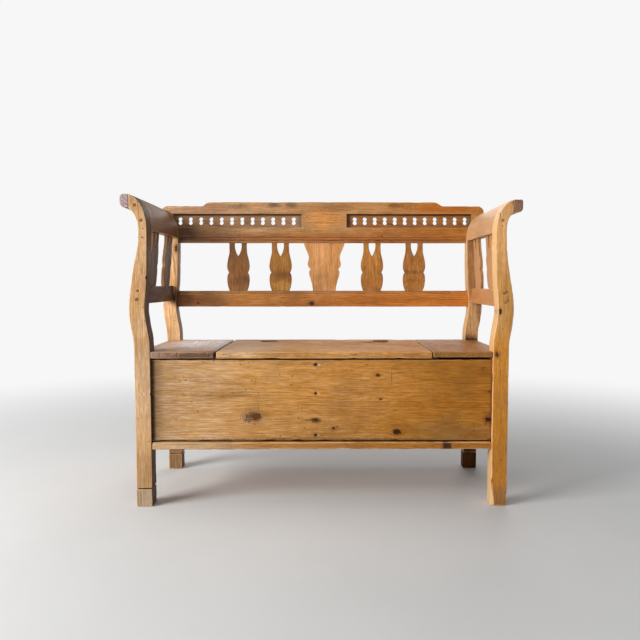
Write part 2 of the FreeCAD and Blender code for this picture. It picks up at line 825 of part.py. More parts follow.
def seat_dowels(radius):
    """Hidden dowels under the seat's fixed boards."""
    start_z = SEAT_LOW_Z - SEAT_DOWEL_DOWN
    length = SEAT_DOWEL_DOWN + SEAT_DOWEL_UP
    third = (REAR_IN_Y - FRONT_IN_Y) / 3
    end_places = (FRONT_IN_Y + third, REAR_IN_Y - third)
    panel_x = (SIDE_IN_X + SIDE_OUT_X) / 2
    bearer_x = SEAT_END_X + (BEARER_W / 2 - SEAT_GAP) / 2
    places = [
        (x, y)
        for sign in (-1, 1)
        for x in (sign * panel_x, LID_X + sign * bearer_x)
        for y in end_places
    ]
    rail_y = (BACK_PANEL_Y + SEAT_REAR_Y) / 2
    places += [(LID_X + sign * LID_W / 4, rail_y) for sign in (-1, 1)]
    return [rod(point(x, y, start_z), ALONG_Z, length, radius) for x, y in places]


def knuckle(hinge_x, number):
    """One barrel segment of a hinge, bored for the pin."""
    step = HINGE_L / HINGE_KNUCKLES
    start_x = hinge_x - HINGE_L / 2 + step * number + KNUCKLE_GAP / 2
    return start_x, step - KNUCKLE_GAP


def hinge_leaf(hinge_x, fixed):
    """Leaf let into the lid's rear edge, or into the fixed rail's front edge."""
    y0, y1 = (SEAT_RAIL_Y, SEAT_RAIL_Y + LEAF_T) if fixed else (LID_REAR_Y - LEAF_T, LID_REAR_Y)
    top_z = AXIS_Z - BARREL_R - LEAF_CLEARANCE
    leaf = block(hinge_x - HINGE_L / 2, hinge_x + HINGE_L / 2, y0, y1, SEAT_H - LEAF_H, top_z)
    bore = rod(point(hinge_x - HINGE_L, AXIS_Y, AXIS_Z), ALONG_X, HINGE_L * 2, PIN_R + PIN_CLEARANCE)
    for number in range(0 if fixed else 1, HINGE_KNUCKLES, 2):
        start_x, length = knuckle(hinge_x, number)
        barrel = rod(point(start_x, AXIS_Y, AXIS_Z), ALONG_X, length, BARREL_R)
        web = block(start_x, start_x + length, y0, y1, top_z, AXIS_Z)
        leaf = leaf.fuse(barrel.fuse(web))
    return cut_all(leaf, [bore] + hinge_screws(hinge_x, fixed))


def hinge_screws(hinge_x, fixed):
    """Countersunk screws of one leaf, flush with its face."""
    sign = 1 if fixed else -1
    y = SEAT_RAIL_Y if fixed else LID_REAR_Y
    z = SEAT_H - (LEAF_H + LEAF_CLEARANCE) / 2
    made = []
    for share in HINGE_SCREW_SHARES:
        start = point(hinge_x + HINGE_L * (share - 1 / 2), y, z)
        head = Part.makeCone(SCREW_HEAD_R, SCREW_R, LEAF_T, start, ALONG_Y * sign)
        shank = rod(start, ALONG_Y * sign, SCREW_L, SCREW_R)
        made.append(head.fuse(shank).removeSplitter())
    return made


def lid_cleats():
    made = []
    for side in SIDES:
        middle = LID_X + side.sign * LID_W / 2 * CLEAT_SHARE
        cleat = block(
            middle - CLEAT_W / 2,
            middle + CLEAT_W / 2,
            FRONT_Y + CLEAT_FRONT,
            LID_REAR_Y - CLEAT_REAR,
            SEAT_LOW_Z - CLEAT_T,
            SEAT_LOW_Z,
        )
        made.append((side, middle, cleat))
    return made


def cleat_screws(middle):
    span = LID_D - CLEAT_FRONT - CLEAT_REAR
    start_z = SEAT_LOW_Z - CLEAT_T
    made = []
    for step in (1, 3, 5):
        start = point(middle, FRONT_Y + CLEAT_FRONT + span * step / 6, start_z)
        head = Part.makeCone(SCREW_HEAD_R, SCREW_R, LEAF_T, start, ALONG_Z)
        made.append(head.fuse(rod(start, ALONG_Z, CLEAT_SCREW_L, SCREW_R)).removeSplitter())
    return made


def make_seat():
    hinge_places = [LID_X + side.sign * LID_W / 2 * HINGE_SHARE for side in SIDES]
    fixed_leaves = [hinge_leaf(x, True) for x in hinge_places]
    lid_leaves = [hinge_leaf(x, False) for x in hinge_places]
    fixed_screws = [screw for x in hinge_places for screw in hinge_screws(x, True)]
    lid_screws = [screw for x in hinge_places for screw in hinge_screws(x, False)]
    parts["hinge_fixed_leaves"] = group(fixed_leaves)
    parts["hinge_lid_leaves"] = group(lid_leaves)
    parts["hinge_pins"] = group(
        rod(point(x - HINGE_L / 2, AXIS_Y, AXIS_Z), ALONG_X, HINGE_L, PIN_R) for x in hinge_places
    )
    parts["hinge_fixed_screws"] = group(fixed_screws)
    parts["hinge_lid_screws"] = group(lid_screws)
    screws = []
    for side, middle, cleat in lid_cleats():
        side_screws = cleat_screws(middle)
        parts["%s_lid_cleat" % side.name] = cut_all(cleat, side_screws)
        screws += side_screws
    parts["lid_cleat_screws"] = group(screws)
    lid = block(LID_X - LID_W / 2, LID_X + LID_W / 2, FRONT_Y, LID_REAR_Y, SEAT_LOW_Z, SEAT_H)
    parts["seat_lid"] = cut_all(lid, lid_leaves + lid_screws + screws)
    dowels = seat_dowels(SEAT_DOWEL_R + PEG_CLEARANCE)
    rail_x = SEAT_END_X - SEAT_GAP
    rail = block(LID_X - rail_x, LID_X + rail_x, SEAT_RAIL_Y, SEAT_REAR_Y, SEAT_LOW_Z, SEAT_H)
    parts["seat_back_rail"] = cut_all(rail, fixed_leaves + fixed_screws + dowels)
    for side in SIDES:
        end = block(
            LID_X + side.sign * SEAT_END_X,
            side.sign * SIDE_OUT_X,
            FRONT_Y,
            SEAT_REAR_Y,
            SEAT_LOW_Z,
            SEAT_H,
        )
        outside = side.sign * (SIDE_OUT_X + OVERRUN)
        notches = [
            block(side.sign * INNER_X, outside, FRONT_Y - OVERRUN, FRONT_IN_Y, SEAT_LOW_Z, SEAT_H),
            block(side.sign * INNER_X, outside, REAR_IN_Y, REAR_Y, SEAT_LOW_Z, SEAT_H),
        ]
        parts["%s_seat_end" % side.name] = cut_all(end, notches + dowels)
    parts["seat_dowels"] = group(seat_dowels(SEAT_DOWEL_R))


def make_posts(peg_holes):
    """Posts and pieced feet, cut for every piece that is let into them."""
    names = ("front_bottom_rail", "rear_bottom_rail", "front_panel", "back_panel", "back_mid_rail")
    let_in = [parts[name] for name in names]
    let_in += [parts["%s_side_panel" % side.name] for side in SIDES]
    dowels = []
    for side in SIDES:
        fixings = peg_holes[side.name] + roll_dowels(side, DOWEL_HOLE_R)
        for place, y0, y1 in (("front", FRONT_Y, FRONT_IN_Y), ("rear", REAR_IN_Y, REAR_Y)):
            name = "%s_%s" % (place, side.name)
            whole = name == "front_right"
            low_z = 0 if whole else FOOT_H
            tools = let_in + fixings
            if place == "rear":
                tools = tools + [crest_blank()]
            if whole:
                tools = tools + [worn_corner()]
            else:
                middle = (y0 + y1) / 2
                hole = foot_dowel(side, middle, DOWEL_HOLE_R)
                foot = block(side.sign * INNER_X, side.sign * HALF_SPAN, y0, y1, 0, FOOT_H)
                parts[name + "_foot"] = cut_all(foot, [hole])
                dowels.append(foot_dowel(side, middle, DOWEL_R))
                tools = tools + [hole]
            parts[name + "_post"] = cut_all(post_body(side, y0, y1, low_z), tools)
    parts["foot_dowels"] = group(dowels)


def build():
    front_pegs, rear_pegs, roll_pins, rear_holes = [], [], [], []
    peg_holes = {}
    for side in SIDES:
        front, rear = arm_pegs(side, PEG_R)
        front_pegs += front
        rear_pegs += rear
        roll_pins += roll_dowels(side, DOWEL_R)
        from_front, from_rear = arm_pegs(side, PEG_HOLE_R)
        peg_holes[side.name] = from_front + from_rear
        rear_holes += from_rear
        splats = make_arm_splats(side)
        dowel_holes = roll_dowels(side, DOWEL_HOLE_R)
        parts["%s_arm_board" % side.name] = make_arm_board(side, splats, peg_holes[side.name], dowel_holes)
        parts["%s_arm_rail" % side.name] = make_arm_rail(side, splats, peg_holes[side.name])
        parts["%s_arm_roll" % side.name] = make_roll(side, dowel_holes)
        parts["%s_fret" % side.name] = make_fret(side)
    parts["front_arm_pegs"] = group(front_pegs)
    parts["rear_arm_pegs"] = group(rear_pegs)
    parts["roll_dowels"] = group(roll_pins)
    parts["fret_pins"] = group(pin for side in SIDES for pin in fret_pins(side.sign, FRET_PIN_R))
    back_splats = make_back_splats()
    parts["crest_rail"] = make_crest(back_splats, rear_holes)
    parts["back_mid_rail"] = make_mid_rail(back_splats, rear_holes)
    make_chest([bearer(side) for side in SIDES])
    make_seat()
    make_posts(peg_holes)


build()
os.makedirs("parts", exist_ok=True)
for name, shape in sorted(parts.items()):
    solids = shape.Solids
    body = solids[0] if len(solids) == 1 else Part.makeCompound(solids)
    body.exportStep(os.path.join("parts", name + ".step"))
    print(name, len(solids), body.isValid(), round(body.Volume))
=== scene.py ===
"""Dressed scene of an old waxed-pine box settle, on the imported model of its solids.

Each sub-assembly is a class that builds worn copies of its boards, with eased
arrises and hand-planed faces, and dresses them in their own pine.
"""

import json
import logging
import math
from dataclasses import dataclass, field, replace
from enum import Enum
from typing import Dict, List, Optional, Sequence, Tuple, Union

import bmesh
import bpy
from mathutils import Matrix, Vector, noise


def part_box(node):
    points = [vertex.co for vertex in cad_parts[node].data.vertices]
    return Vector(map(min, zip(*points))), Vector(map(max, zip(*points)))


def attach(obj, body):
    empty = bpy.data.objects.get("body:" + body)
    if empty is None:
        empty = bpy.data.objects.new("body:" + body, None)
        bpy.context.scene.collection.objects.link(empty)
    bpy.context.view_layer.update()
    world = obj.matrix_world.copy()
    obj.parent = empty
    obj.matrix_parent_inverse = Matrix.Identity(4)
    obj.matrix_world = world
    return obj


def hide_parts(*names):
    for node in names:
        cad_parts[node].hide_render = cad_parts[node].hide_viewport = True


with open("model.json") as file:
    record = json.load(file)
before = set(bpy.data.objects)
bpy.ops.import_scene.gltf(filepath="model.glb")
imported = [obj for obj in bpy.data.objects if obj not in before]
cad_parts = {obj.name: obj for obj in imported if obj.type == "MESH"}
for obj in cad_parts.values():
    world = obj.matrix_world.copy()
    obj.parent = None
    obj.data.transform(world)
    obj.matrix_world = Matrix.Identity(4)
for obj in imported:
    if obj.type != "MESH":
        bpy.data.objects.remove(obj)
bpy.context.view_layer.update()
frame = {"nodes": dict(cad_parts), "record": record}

log = logging.getLogger("settle")

Colour = Tuple[float, float, float]
Place = Tuple[float, float, float]
Socket = bpy.types.NodeSocket
Sockets = Dict[str, Socket]
Feed = Union[float, int, Sequence[float], Socket]

# Names of the marks that the boards' faces carry for their finish; the inner side carries painted light and
# shade.
ARRIS = "arris"
END_GRAIN = "end_grain"
INNER_SIDE = "inner_side"

# Painted light: tints from the paler, greyer lit left to the deeper, shaded right, and how far out they
# reach.
PAINTED_LIGHT_LEFT = (1.02, 1.18, 1.50)
PAINTED_SHADE_RIGHT = (0.97, 0.82, 0.50)
PAINTED_LIGHT_REACH = 0.56

# Colours of knots, dirt and marks that boards share; the black is also painted shade in gaps and under parts.
KNOT_RED = (0.15, 0.034, 0.007)
KNOT_BLACK = (0.009, 0.003, 0.002)
KNOT_RIM = (0.009, 0.004, 0.003)
KNOT_HALO = (0.25, 0.082, 0.020)
GRIME = (0.17, 0.075, 0.028)
SPECK = (0.17, 0.06, 0.018)
SCRATCH = (0.10, 0.042, 0.016)
PIT = (0.035, 0.016, 0.009)
BLACK_DIRT_AND_SHADE = (0.03, 0.018, 0.012)
BARE_WOOD = (0.72, 0.58, 0.40)
ORANGE = (0.46, 0.176, 0.010)

# Joining of a solid's corners and flat faces, before it is worn.
SAME_POINT = 1e-6
FLAT_TURN = math.radians(0.4)

# Wear of the boards. The seed makes each run wear them alike.
WEAR_SEED = 11
SEED_STEP = 1.3
ARRIS_TURN = math.radians(28.0)
SAME_SHADE = 0.86
TRIM_REACH = 0.0006
CHIP_STEP = 0.003
SWAY_SCALE = 7.0
NICK_SCALE = 38.0
NICK_LEAST = 0.12
NICK_DEPTH = 2.2

# Which faces are marked: no arris under a board or on a hole's rim, and end grain across the axis.
RIM_LENGTH = 0.0014
UNDERSIDE = -0.35
ENDWISE = 0.75
# How squarely a face must point inward to take painted light and shade on its inner side.
INNER_SLOPE = 3.0
INNER_START = 0.9


class Grain(Enum):
    """Axes along the grain, across the face and through the thickness of a board."""

    LENGTH_UPRIGHT = "xzy"
    LENGTH_FLAT = "xyz"
    DEPTH_FLAT = "yxz"
    DEPTH_UPRIGHT = "yzx"
    UPRIGHT_FRONT = "zxy"
    UPRIGHT_SIDE = "zyx"

    def turned(self, point: Sequence[float]) -> Tuple[float, ...]:
        """A point's coordinates in the order of this grain."""
        return tuple(point["xyz".index(axis)] for axis in self.value)


class Body(Enum):
    """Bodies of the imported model."""

    FRAME = "frame"
    LID = "lid"


class Slot(Enum):
    """Material slots of the record."""

    FRAME = "frame_pine"
    PANEL = "panel_pine"
    SEAT = "seat_pine"
    PEG = "peg_wood"
    IRON = "iron"


class Aim(Enum):
    """Axis of a fixing, whether its head is at the high end, and the turn that points it there."""

    FRONT = (1, False, (math.pi / 2, 0.0, 0.0))
    REAR = (1, True, (-math.pi / 2, 0.0, 0.0))
    UP = (2, True, (0.0, 0.0, 0.0))
    DOWN = (2, False, (math.pi, 0.0, 0.0))


class Tree:
    """Short calls for building a node tree."""

    def __init__(self, tree: bpy.types.NodeTree) -> None:
        """Keep the tree that nodes are added to."""
        self.tree = tree

    def add(self, kind: str, feeds: Optional[Dict] = None, **settings: object) -> bpy.types.Node:
        """Add a node.

        Args:
            kind: the node's type name.
            feeds: values or sockets for its inputs, by name or number.
            **settings: attributes set on the node first.

        Returns:
            The new node.
        """
        node = self.tree.nodes.new(kind)
        for name, value in settings.items():
            setattr(node, name, value)
        for key, value in (feeds or {}).items():
            self.put(node.inputs[key], value)
        return node

    def out(self, kind: str, feeds: Optional[Dict] = None, part: Union[int, str] = 0,
            **settings: object) -> Socket:
        """One output of a new node, the first unless another is named."""
        return self.add(kind, feeds, **settings).outputs[part]

    def put(self, socket: Socket, value: Feed) -> None:
        """Link a socket to another, or set its value."""
        if isinstance(value, Socket):
            self.tree.links.new(value, socket)
        else:
            socket.default_value = value

    def group(self, inner: bpy.types.NodeTree, feeds: Dict[str, Feed]) -> Sockets:
        """Outputs by name of a shader group, placed with its inputs."""
        node = self.add("ShaderNodeGroup", feeds, node_tree=inner)
        return {socket.name: socket for socket in node.outputs}

    def math(self, operation: str, a: Feed, b: Feed = 0.0) -> Socket:
        """Output of one Math node."""
        return self.out("ShaderNodeMath", {0: a, 1: b}, operation=operation)

    def times(self, a: Feed, b: Feed) -> Socket:
        """Product of two values."""
        return self.math("MULTIPLY", a, b)

    def plus(self, a: Feed, b: Feed) -> Socket:
        """Sum of two values."""
        return self.math("ADD", a, b)

    def less(self, a: Feed, b: Feed) -> Socket:
        """Difference of two values."""
        return self.math("SUBTRACT", a, b)

    def reach(self, a: Feed, b: Feed) -> Socket:
        """Length of a pair of values."""
        return self.math("SQRT", self.plus(self.times(a, a), self.times(b, b)))

    def vector(self, operation: str, a: Feed, b: Feed) -> Socket:
        """Vector output of one Vector Math node."""
        return self.out("ShaderNodeVectorMath", {0: a, 1: b}, operation=operation)

    def length(self, vector: Feed) -> Socket:
        """Length of a vector."""
        return self.out("ShaderNodeVectorMath", {0: vector}, "Value", operation="LENGTH")

    def step(self, value: Feed, low: Feed, high: Feed, start: float = 0.0, end: float = 1.0) -> Socket:
        """Smooth step of a value between two limits.

        Args:
            value: what is mapped.
            low: where the step starts.
            high: where it ends.
            start: result below low.
            end: result above high.

        Returns:
            The mapped value's socket.
        """
        feeds = {0: value, 1: low, 2: high, 3: start, 4: end}
        return self.out("ShaderNodeMapRange", feeds, interpolation_type="SMOOTHSTEP")

    def fade(self, value: Feed, low: Feed, high: Feed) -> Socket:
        """Smooth step of a value from one down to nothing."""
        return self.step(value, low, high, 1.0, 0.0)

    def swing(self, value: Feed, by: float) -> Socket:
        """Factor that swings round one with a noise."""
        return self.step(value, 0.3, 0.7, 1.0 - by, 1.0 + by)

    def mix(self, share: Feed, a: Feed, b: Feed, blend: str = "MIX") -> Socket:
        """Colour mixed from two by a share."""
        node = self.add("ShaderNodeMix", data_type="RGBA", blend_type=blend)
        for number, value in ((0, share), (6, a), (7, b)):
            self.put(node.inputs[number], (*value, 1.0) if isinstance(value, tuple) else value)
        return node.outputs[2]

    def stain(self, colour: Feed, mask: Feed, strength: Feed, tint: Feed) -> Socket:
        """Colour with a tint laid over it where a mask is."""
        return self.mix(self.times(mask, strength), colour, tint)

    def noise(self, vector: Feed, scale: Feed, detail: float = 2.0, rough: float = 0.5,
              part: str = "Fac") -> Socket:
        """Noise on a vector."""
        feeds = {"Vector": vector, "Scale": scale, "Detail": detail, "Roughness": rough}
        return self.out("ShaderNodeTexNoise", feeds, part)

    def mark(self, name: str) -> Socket:
        """A mark that the faces carry."""
        return self.out("ShaderNodeAttribute", part="Fac", attribute_name=name)

    def split(self, vector: Feed) -> Tuple[Socket, ...]:
        """The three parts of a vector."""
        return tuple(self.add("ShaderNodeSeparateXYZ", {0: vector}).outputs)

    def join(self, x: Feed, y: Feed, z: Feed) -> Socket:
        """A vector of three parts."""
        return self.out("ShaderNodeCombineXYZ", {0: x, 1: y, 2: z})

    def joined(self, *parts: Socket) -> Socket:
        """Geometry joined from parts.

        Args:
            *parts: the parts' sockets.

        Returns:
            The whole geometry's socket.
        """
        node = self.add("GeometryNodeJoinGeometry")
        for part in parts:
            self.put(node.inputs[0], part)
        return node.outputs[0]

    def raised(self, shape: Socket, height: Feed) -> Socket:
        """Geometry moved along Z."""
        return self.out("GeometryNodeTransform", {0: shape, "Translation": self.join(0.0, 0.0, height)})

    def on_points(self, points: Socket, shape: Socket, **feeds: Feed) -> Socket:
        """Copies of a shape, one at each point."""
        return self.out("GeometryNodeInstanceOnPoints", {"Points": points, "Instance": shape, **feeds})


def blank(owner: Union[bpy.types.Material, bpy.types.World]) -> Tree:
    """Clear the nodes of a material or world.

    Args:
        owner: the material or world.

    Returns:
        Its empty tree.
    """
    owner.use_nodes = True
    owner.node_tree.nodes.clear()
    return Tree(owner.node_tree)


class WoodGroups:
    """Shader groups that the wood finishes share."""

    VECTORS = ("Vector", "Centre", "Size", "Pith")
    ONE_OVER_E = 0.3679

    def __init__(self) -> None:
        """Build each group once."""
        self.figure = self._figure()
        self.knot = self._knot()
        self.patch = self._patch()
        self.age = self._age()

    def _start(self, name: str, takes: Sequence[str], gives: Sequence[str]) -> Tuple[Tree, Sockets, Sockets]:
        """Start an empty group.

        Args:
            name: the group's name.
            takes: names of its inputs.
            gives: names of its outputs.

        Returns:
            The tree, its input sockets and its output sockets, by name.
        """
        group = bpy.data.node_groups.new(name, "ShaderNodeTree")
        for way, labels in (("INPUT", takes), ("OUTPUT", gives)):
            for label in labels:
                kind = "NodeSocketVector" if label in self.VECTORS else "NodeSocketFloat"
                group.interface.new_socket(label, in_out=way, socket_type=kind)
        tree = Tree(group)
        start, end = tree.add("NodeGroupInput"), tree.add("NodeGroupOutput")
        return tree, {s.name: s for s in start.outputs}, {s.name: s for s in end.inputs}

    def _figure(self) -> bpy.types.NodeTree:
        """Growth rings round a pith, dark streaks, slow tone, painted sheen (shimmer) and fine fibre."""
        takes = ("Vector", "Ring Width", "Pith", "Tilt", "Wobble", "Seed")
        gives = ("Late", "Streak", "Tone", "Shimmer", "Fleck", "Fibre")
        tree, feed, give = self._start("Pine figure", takes, gives)
        seed = feed["Seed"]
        shift = tree.join(tree.times(seed, 3.1), tree.times(seed, 1.7), seed)

        def drawn(along: float, across: float, detail: float, rough: float = 0.55,
                  part: str = "Fac") -> Socket:
            """Noise drawn out along the grain."""
            place = tree.vector("MULTIPLY", feed["Vector"], (along, across, across))
            return tree.noise(tree.vector("ADD", place, shift), 1.0, detail, rough, part)

        along, across, through = tree.split(feed["Vector"])
        _, pith_across, pith_through = tree.split(feed["Pith"])
        slow = tree.split(drawn(1.3, 5.0, 2.0, part="Color"))
        sway = [tree.times(tree.less(part, 0.5), feed["Wobble"]) for part in slow]
        side = tree.plus(tree.less(across, pith_across), sway[0])
        lean = tree.plus(tree.times(along, feed["Tilt"]), sway[1])
        deep = tree.plus(tree.less(through, pith_through), lean)
        jitter = tree.less(drawn(5.0, 95.0, 2.0), 0.5)
        rings = tree.math("DIVIDE", tree.reach(side, deep), feed["Ring Width"])
        count = tree.plus(rings, tree.times(jitter, 0.8))
        season = tree.math("FRACT", count)
        year = tree.plus(tree.math("FLOOR", count), seed)
        luck = tree.out("ShaderNodeTexWhiteNoise", {"W": year}, "Value", noise_dimensions="1D")
        line = tree.times(tree.step(season, 0.42, 0.9), tree.fade(season, 0.91, 1.0))
        broken = tree.step(drawn(4.0, 120.0, 3.0), 0.25, 0.6, 0.35, 1.0)
        patchy = tree.step(drawn(1.1, 7.0, 2.0), 0.36, 0.64, 0.3, 1.15)
        weight = tree.times(tree.plus(tree.times(luck, 0.75), 0.25), patchy)
        tree.put(give["Late"], tree.times(tree.times(line, broken), weight))
        tree.put(give["Streak"], tree.step(drawn(6.0, 260.0, 3.0, 0.62), 0.52, 0.74))
        tree.put(give["Tone"], tree.step(drawn(2.4, 20.0, 5.0, 0.62), 0.33, 0.67))
        tree.put(give["Shimmer"], drawn(18.0, 150.0, 3.0, 0.62))
        tree.put(give["Fleck"], drawn(40.0, 340.0, 4.0, 0.66))
        tree.put(give["Fibre"], drawn(20.0, 800.0, 2.0))
        return tree.tree

    def _knot(self) -> bpy.types.NodeTree:
        """One knot through a board, with the grain led round it."""
        takes, gives = ("Vector", "Centre", "Radius"), ("Vector", "Core", "Rim", "Halo")
        tree, feed, give = self._start("Pine knot", takes, gives)
        along, across, through = tree.split(feed["Vector"])
        mid_along, mid_across, _ = tree.split(feed["Centre"])
        off_across = tree.less(across, mid_across)
        by_along = tree.math("DIVIDE", tree.less(along, mid_along), feed["Radius"])
        by_across = tree.math("DIVIDE", off_across, feed["Radius"])
        far = tree.reach(tree.times(by_along, 0.3), tree.times(by_across, 0.45))
        near = tree.math("POWER", self.ONE_OVER_E, tree.times(far, far))
        led = tree.times(tree.times(off_across, near), 0.9)
        tree.put(give["Vector"], tree.join(along, tree.less(across, led), through))
        flat = tree.join(along, across, 0.0)
        rough = tree.less(tree.noise(flat, 170.0, 5.0, 0.7), 0.5)
        reach = tree.plus(tree.reach(tree.times(by_along, 0.75), by_across), tree.times(rough, 2.0))
        worn = tree.step(tree.noise(flat, 260.0, 3.0), 0.35, 0.65, 0.2, 1.0)
        ring = tree.times(tree.step(reach, 0.5, 0.8), tree.fade(reach, 0.9, 1.3))
        tree.put(give["Core"], tree.fade(reach, 0.7, 1.0))
        tree.put(give["Rim"], tree.times(ring, worn))
        tree.put(give["Halo"], tree.fade(reach, 0.8, 2.8))
        return tree.tree

    def _patch(self) -> bpy.types.NodeTree:
        """Soft patch of stain, bleach, dirt, painted shade or painted sheen, with a ragged edge."""
        takes = ("Vector", "Centre", "Size", "Ragged", "Fineness")
        tree, feed, give = self._start("Soft patch", takes, ("Mask",))
        away = tree.vector("DIVIDE", tree.vector("SUBTRACT", feed["Vector"], feed["Centre"]), feed["Size"])
        rough = tree.less(tree.noise(feed["Vector"], feed["Fineness"], 5.0, 0.7), 0.5)
        reach = tree.plus(tree.length(away), tree.times(rough, feed["Ragged"]))
        tree.put(give["Mask"], tree.fade(reach, 0.3, 1.0))
        return tree.tree

    def _age(self) -> bpy.types.NodeTree:
        """Specks, pits, scratches, grime and dents on a face along the grain."""
        gives = ("Specks", "Pits", "Scratch", "Grime", "Dents")
        tree, feed, give = self._start("Age marks", ("Vector", "Seed"), gives)
        place = tree.vector("ADD", feed["Vector"], tree.join(feed["Seed"], feed["Seed"], feed["Seed"]))

        def net(scale: float, dimensions: str) -> Tuple[Sockets, Tuple[Socket, ...]]:
            """Outputs of a net of cells, and three chances for each cell."""
            feeds = {"Vector": place, "Scale": scale}
            cell = tree.add("ShaderNodeTexVoronoi", feeds, voronoi_dimensions=dimensions).outputs
            return cell, tree.split(cell["Color"])

        def spots(scale: float, width: float, least: float) -> Socket:
            """Round spots in some of the cells of a net."""
            cell, chance = net(scale, "3D")
            wide = tree.times(tree.plus(chance[1], 0.3), width * scale)
            spot = tree.fade(cell["Distance"], tree.times(wide, 0.4), wide)
            return tree.times(spot, tree.math("GREATER_THAN", chance[0], least))

        tree.put(give["Specks"], spots(42.0, 0.0036, 0.60))
        tree.put(give["Pits"], spots(66.0, 0.0019, 0.66))
        cell, chance = net(8.0, "2D")
        away = tree.split(tree.vector("SUBTRACT", place, cell["Position"]))
        turn = tree.times(chance[0], math.pi)
        cos, sin = tree.math("COSINE", turn), tree.math("SINE", turn)
        run = tree.math("ABSOLUTE", tree.plus(tree.times(away[0], cos), tree.times(away[1], sin)))
        off = tree.math("ABSOLUTE", tree.less(tree.times(away[1], cos), tree.times(away[0], sin)))
        long = tree.plus(tree.times(chance[1], 0.028), 0.006)
        line = tree.times(tree.fade(off, 0.0003, 0.0011), tree.fade(run, tree.times(long, 0.5), long))
        tree.put(give["Scratch"], tree.times(line, tree.math("GREATER_THAN", chance[2], 0.72)))
        tree.put(give["Grime"], tree.step(tree.noise(place, 6.0, 7.0, 0.7), 0.42, 0.70))
        tree.put(give["Dents"], tree.noise(place, 24.0, 3.0, 0.55))
        return tree.tree


@dataclass(frozen=True)
class Knot:
    """A knot at a place in the settle's frame."""

    place: Place
    radius: float
    dark: float = 0.4


@dataclass(frozen=True)
class Patch:
    """A soft patch of another colour."""

    place: Place
    size: Place
    colour: Colour
    strength: float = 0.5
    ragged: float = 0.6
    fineness: float = 90.0

    @classmethod
    def row(cls, y: float, deep: float, *rows: Tuple) -> Tuple["Patch", ...]:
        """Patches on an upright face.

        Args:
            y: where they lie from front to back.
            deep: how far they reach that way.
            *rows: x, z, width and height of each, then its colour, strength, ragged edge and fineness.

        Returns:
            The patches, from the lowest layer up.
        """
        return tuple(cls((x, y, z), (wide, deep, high), *rest) for x, z, wide, high, *rest in rows)


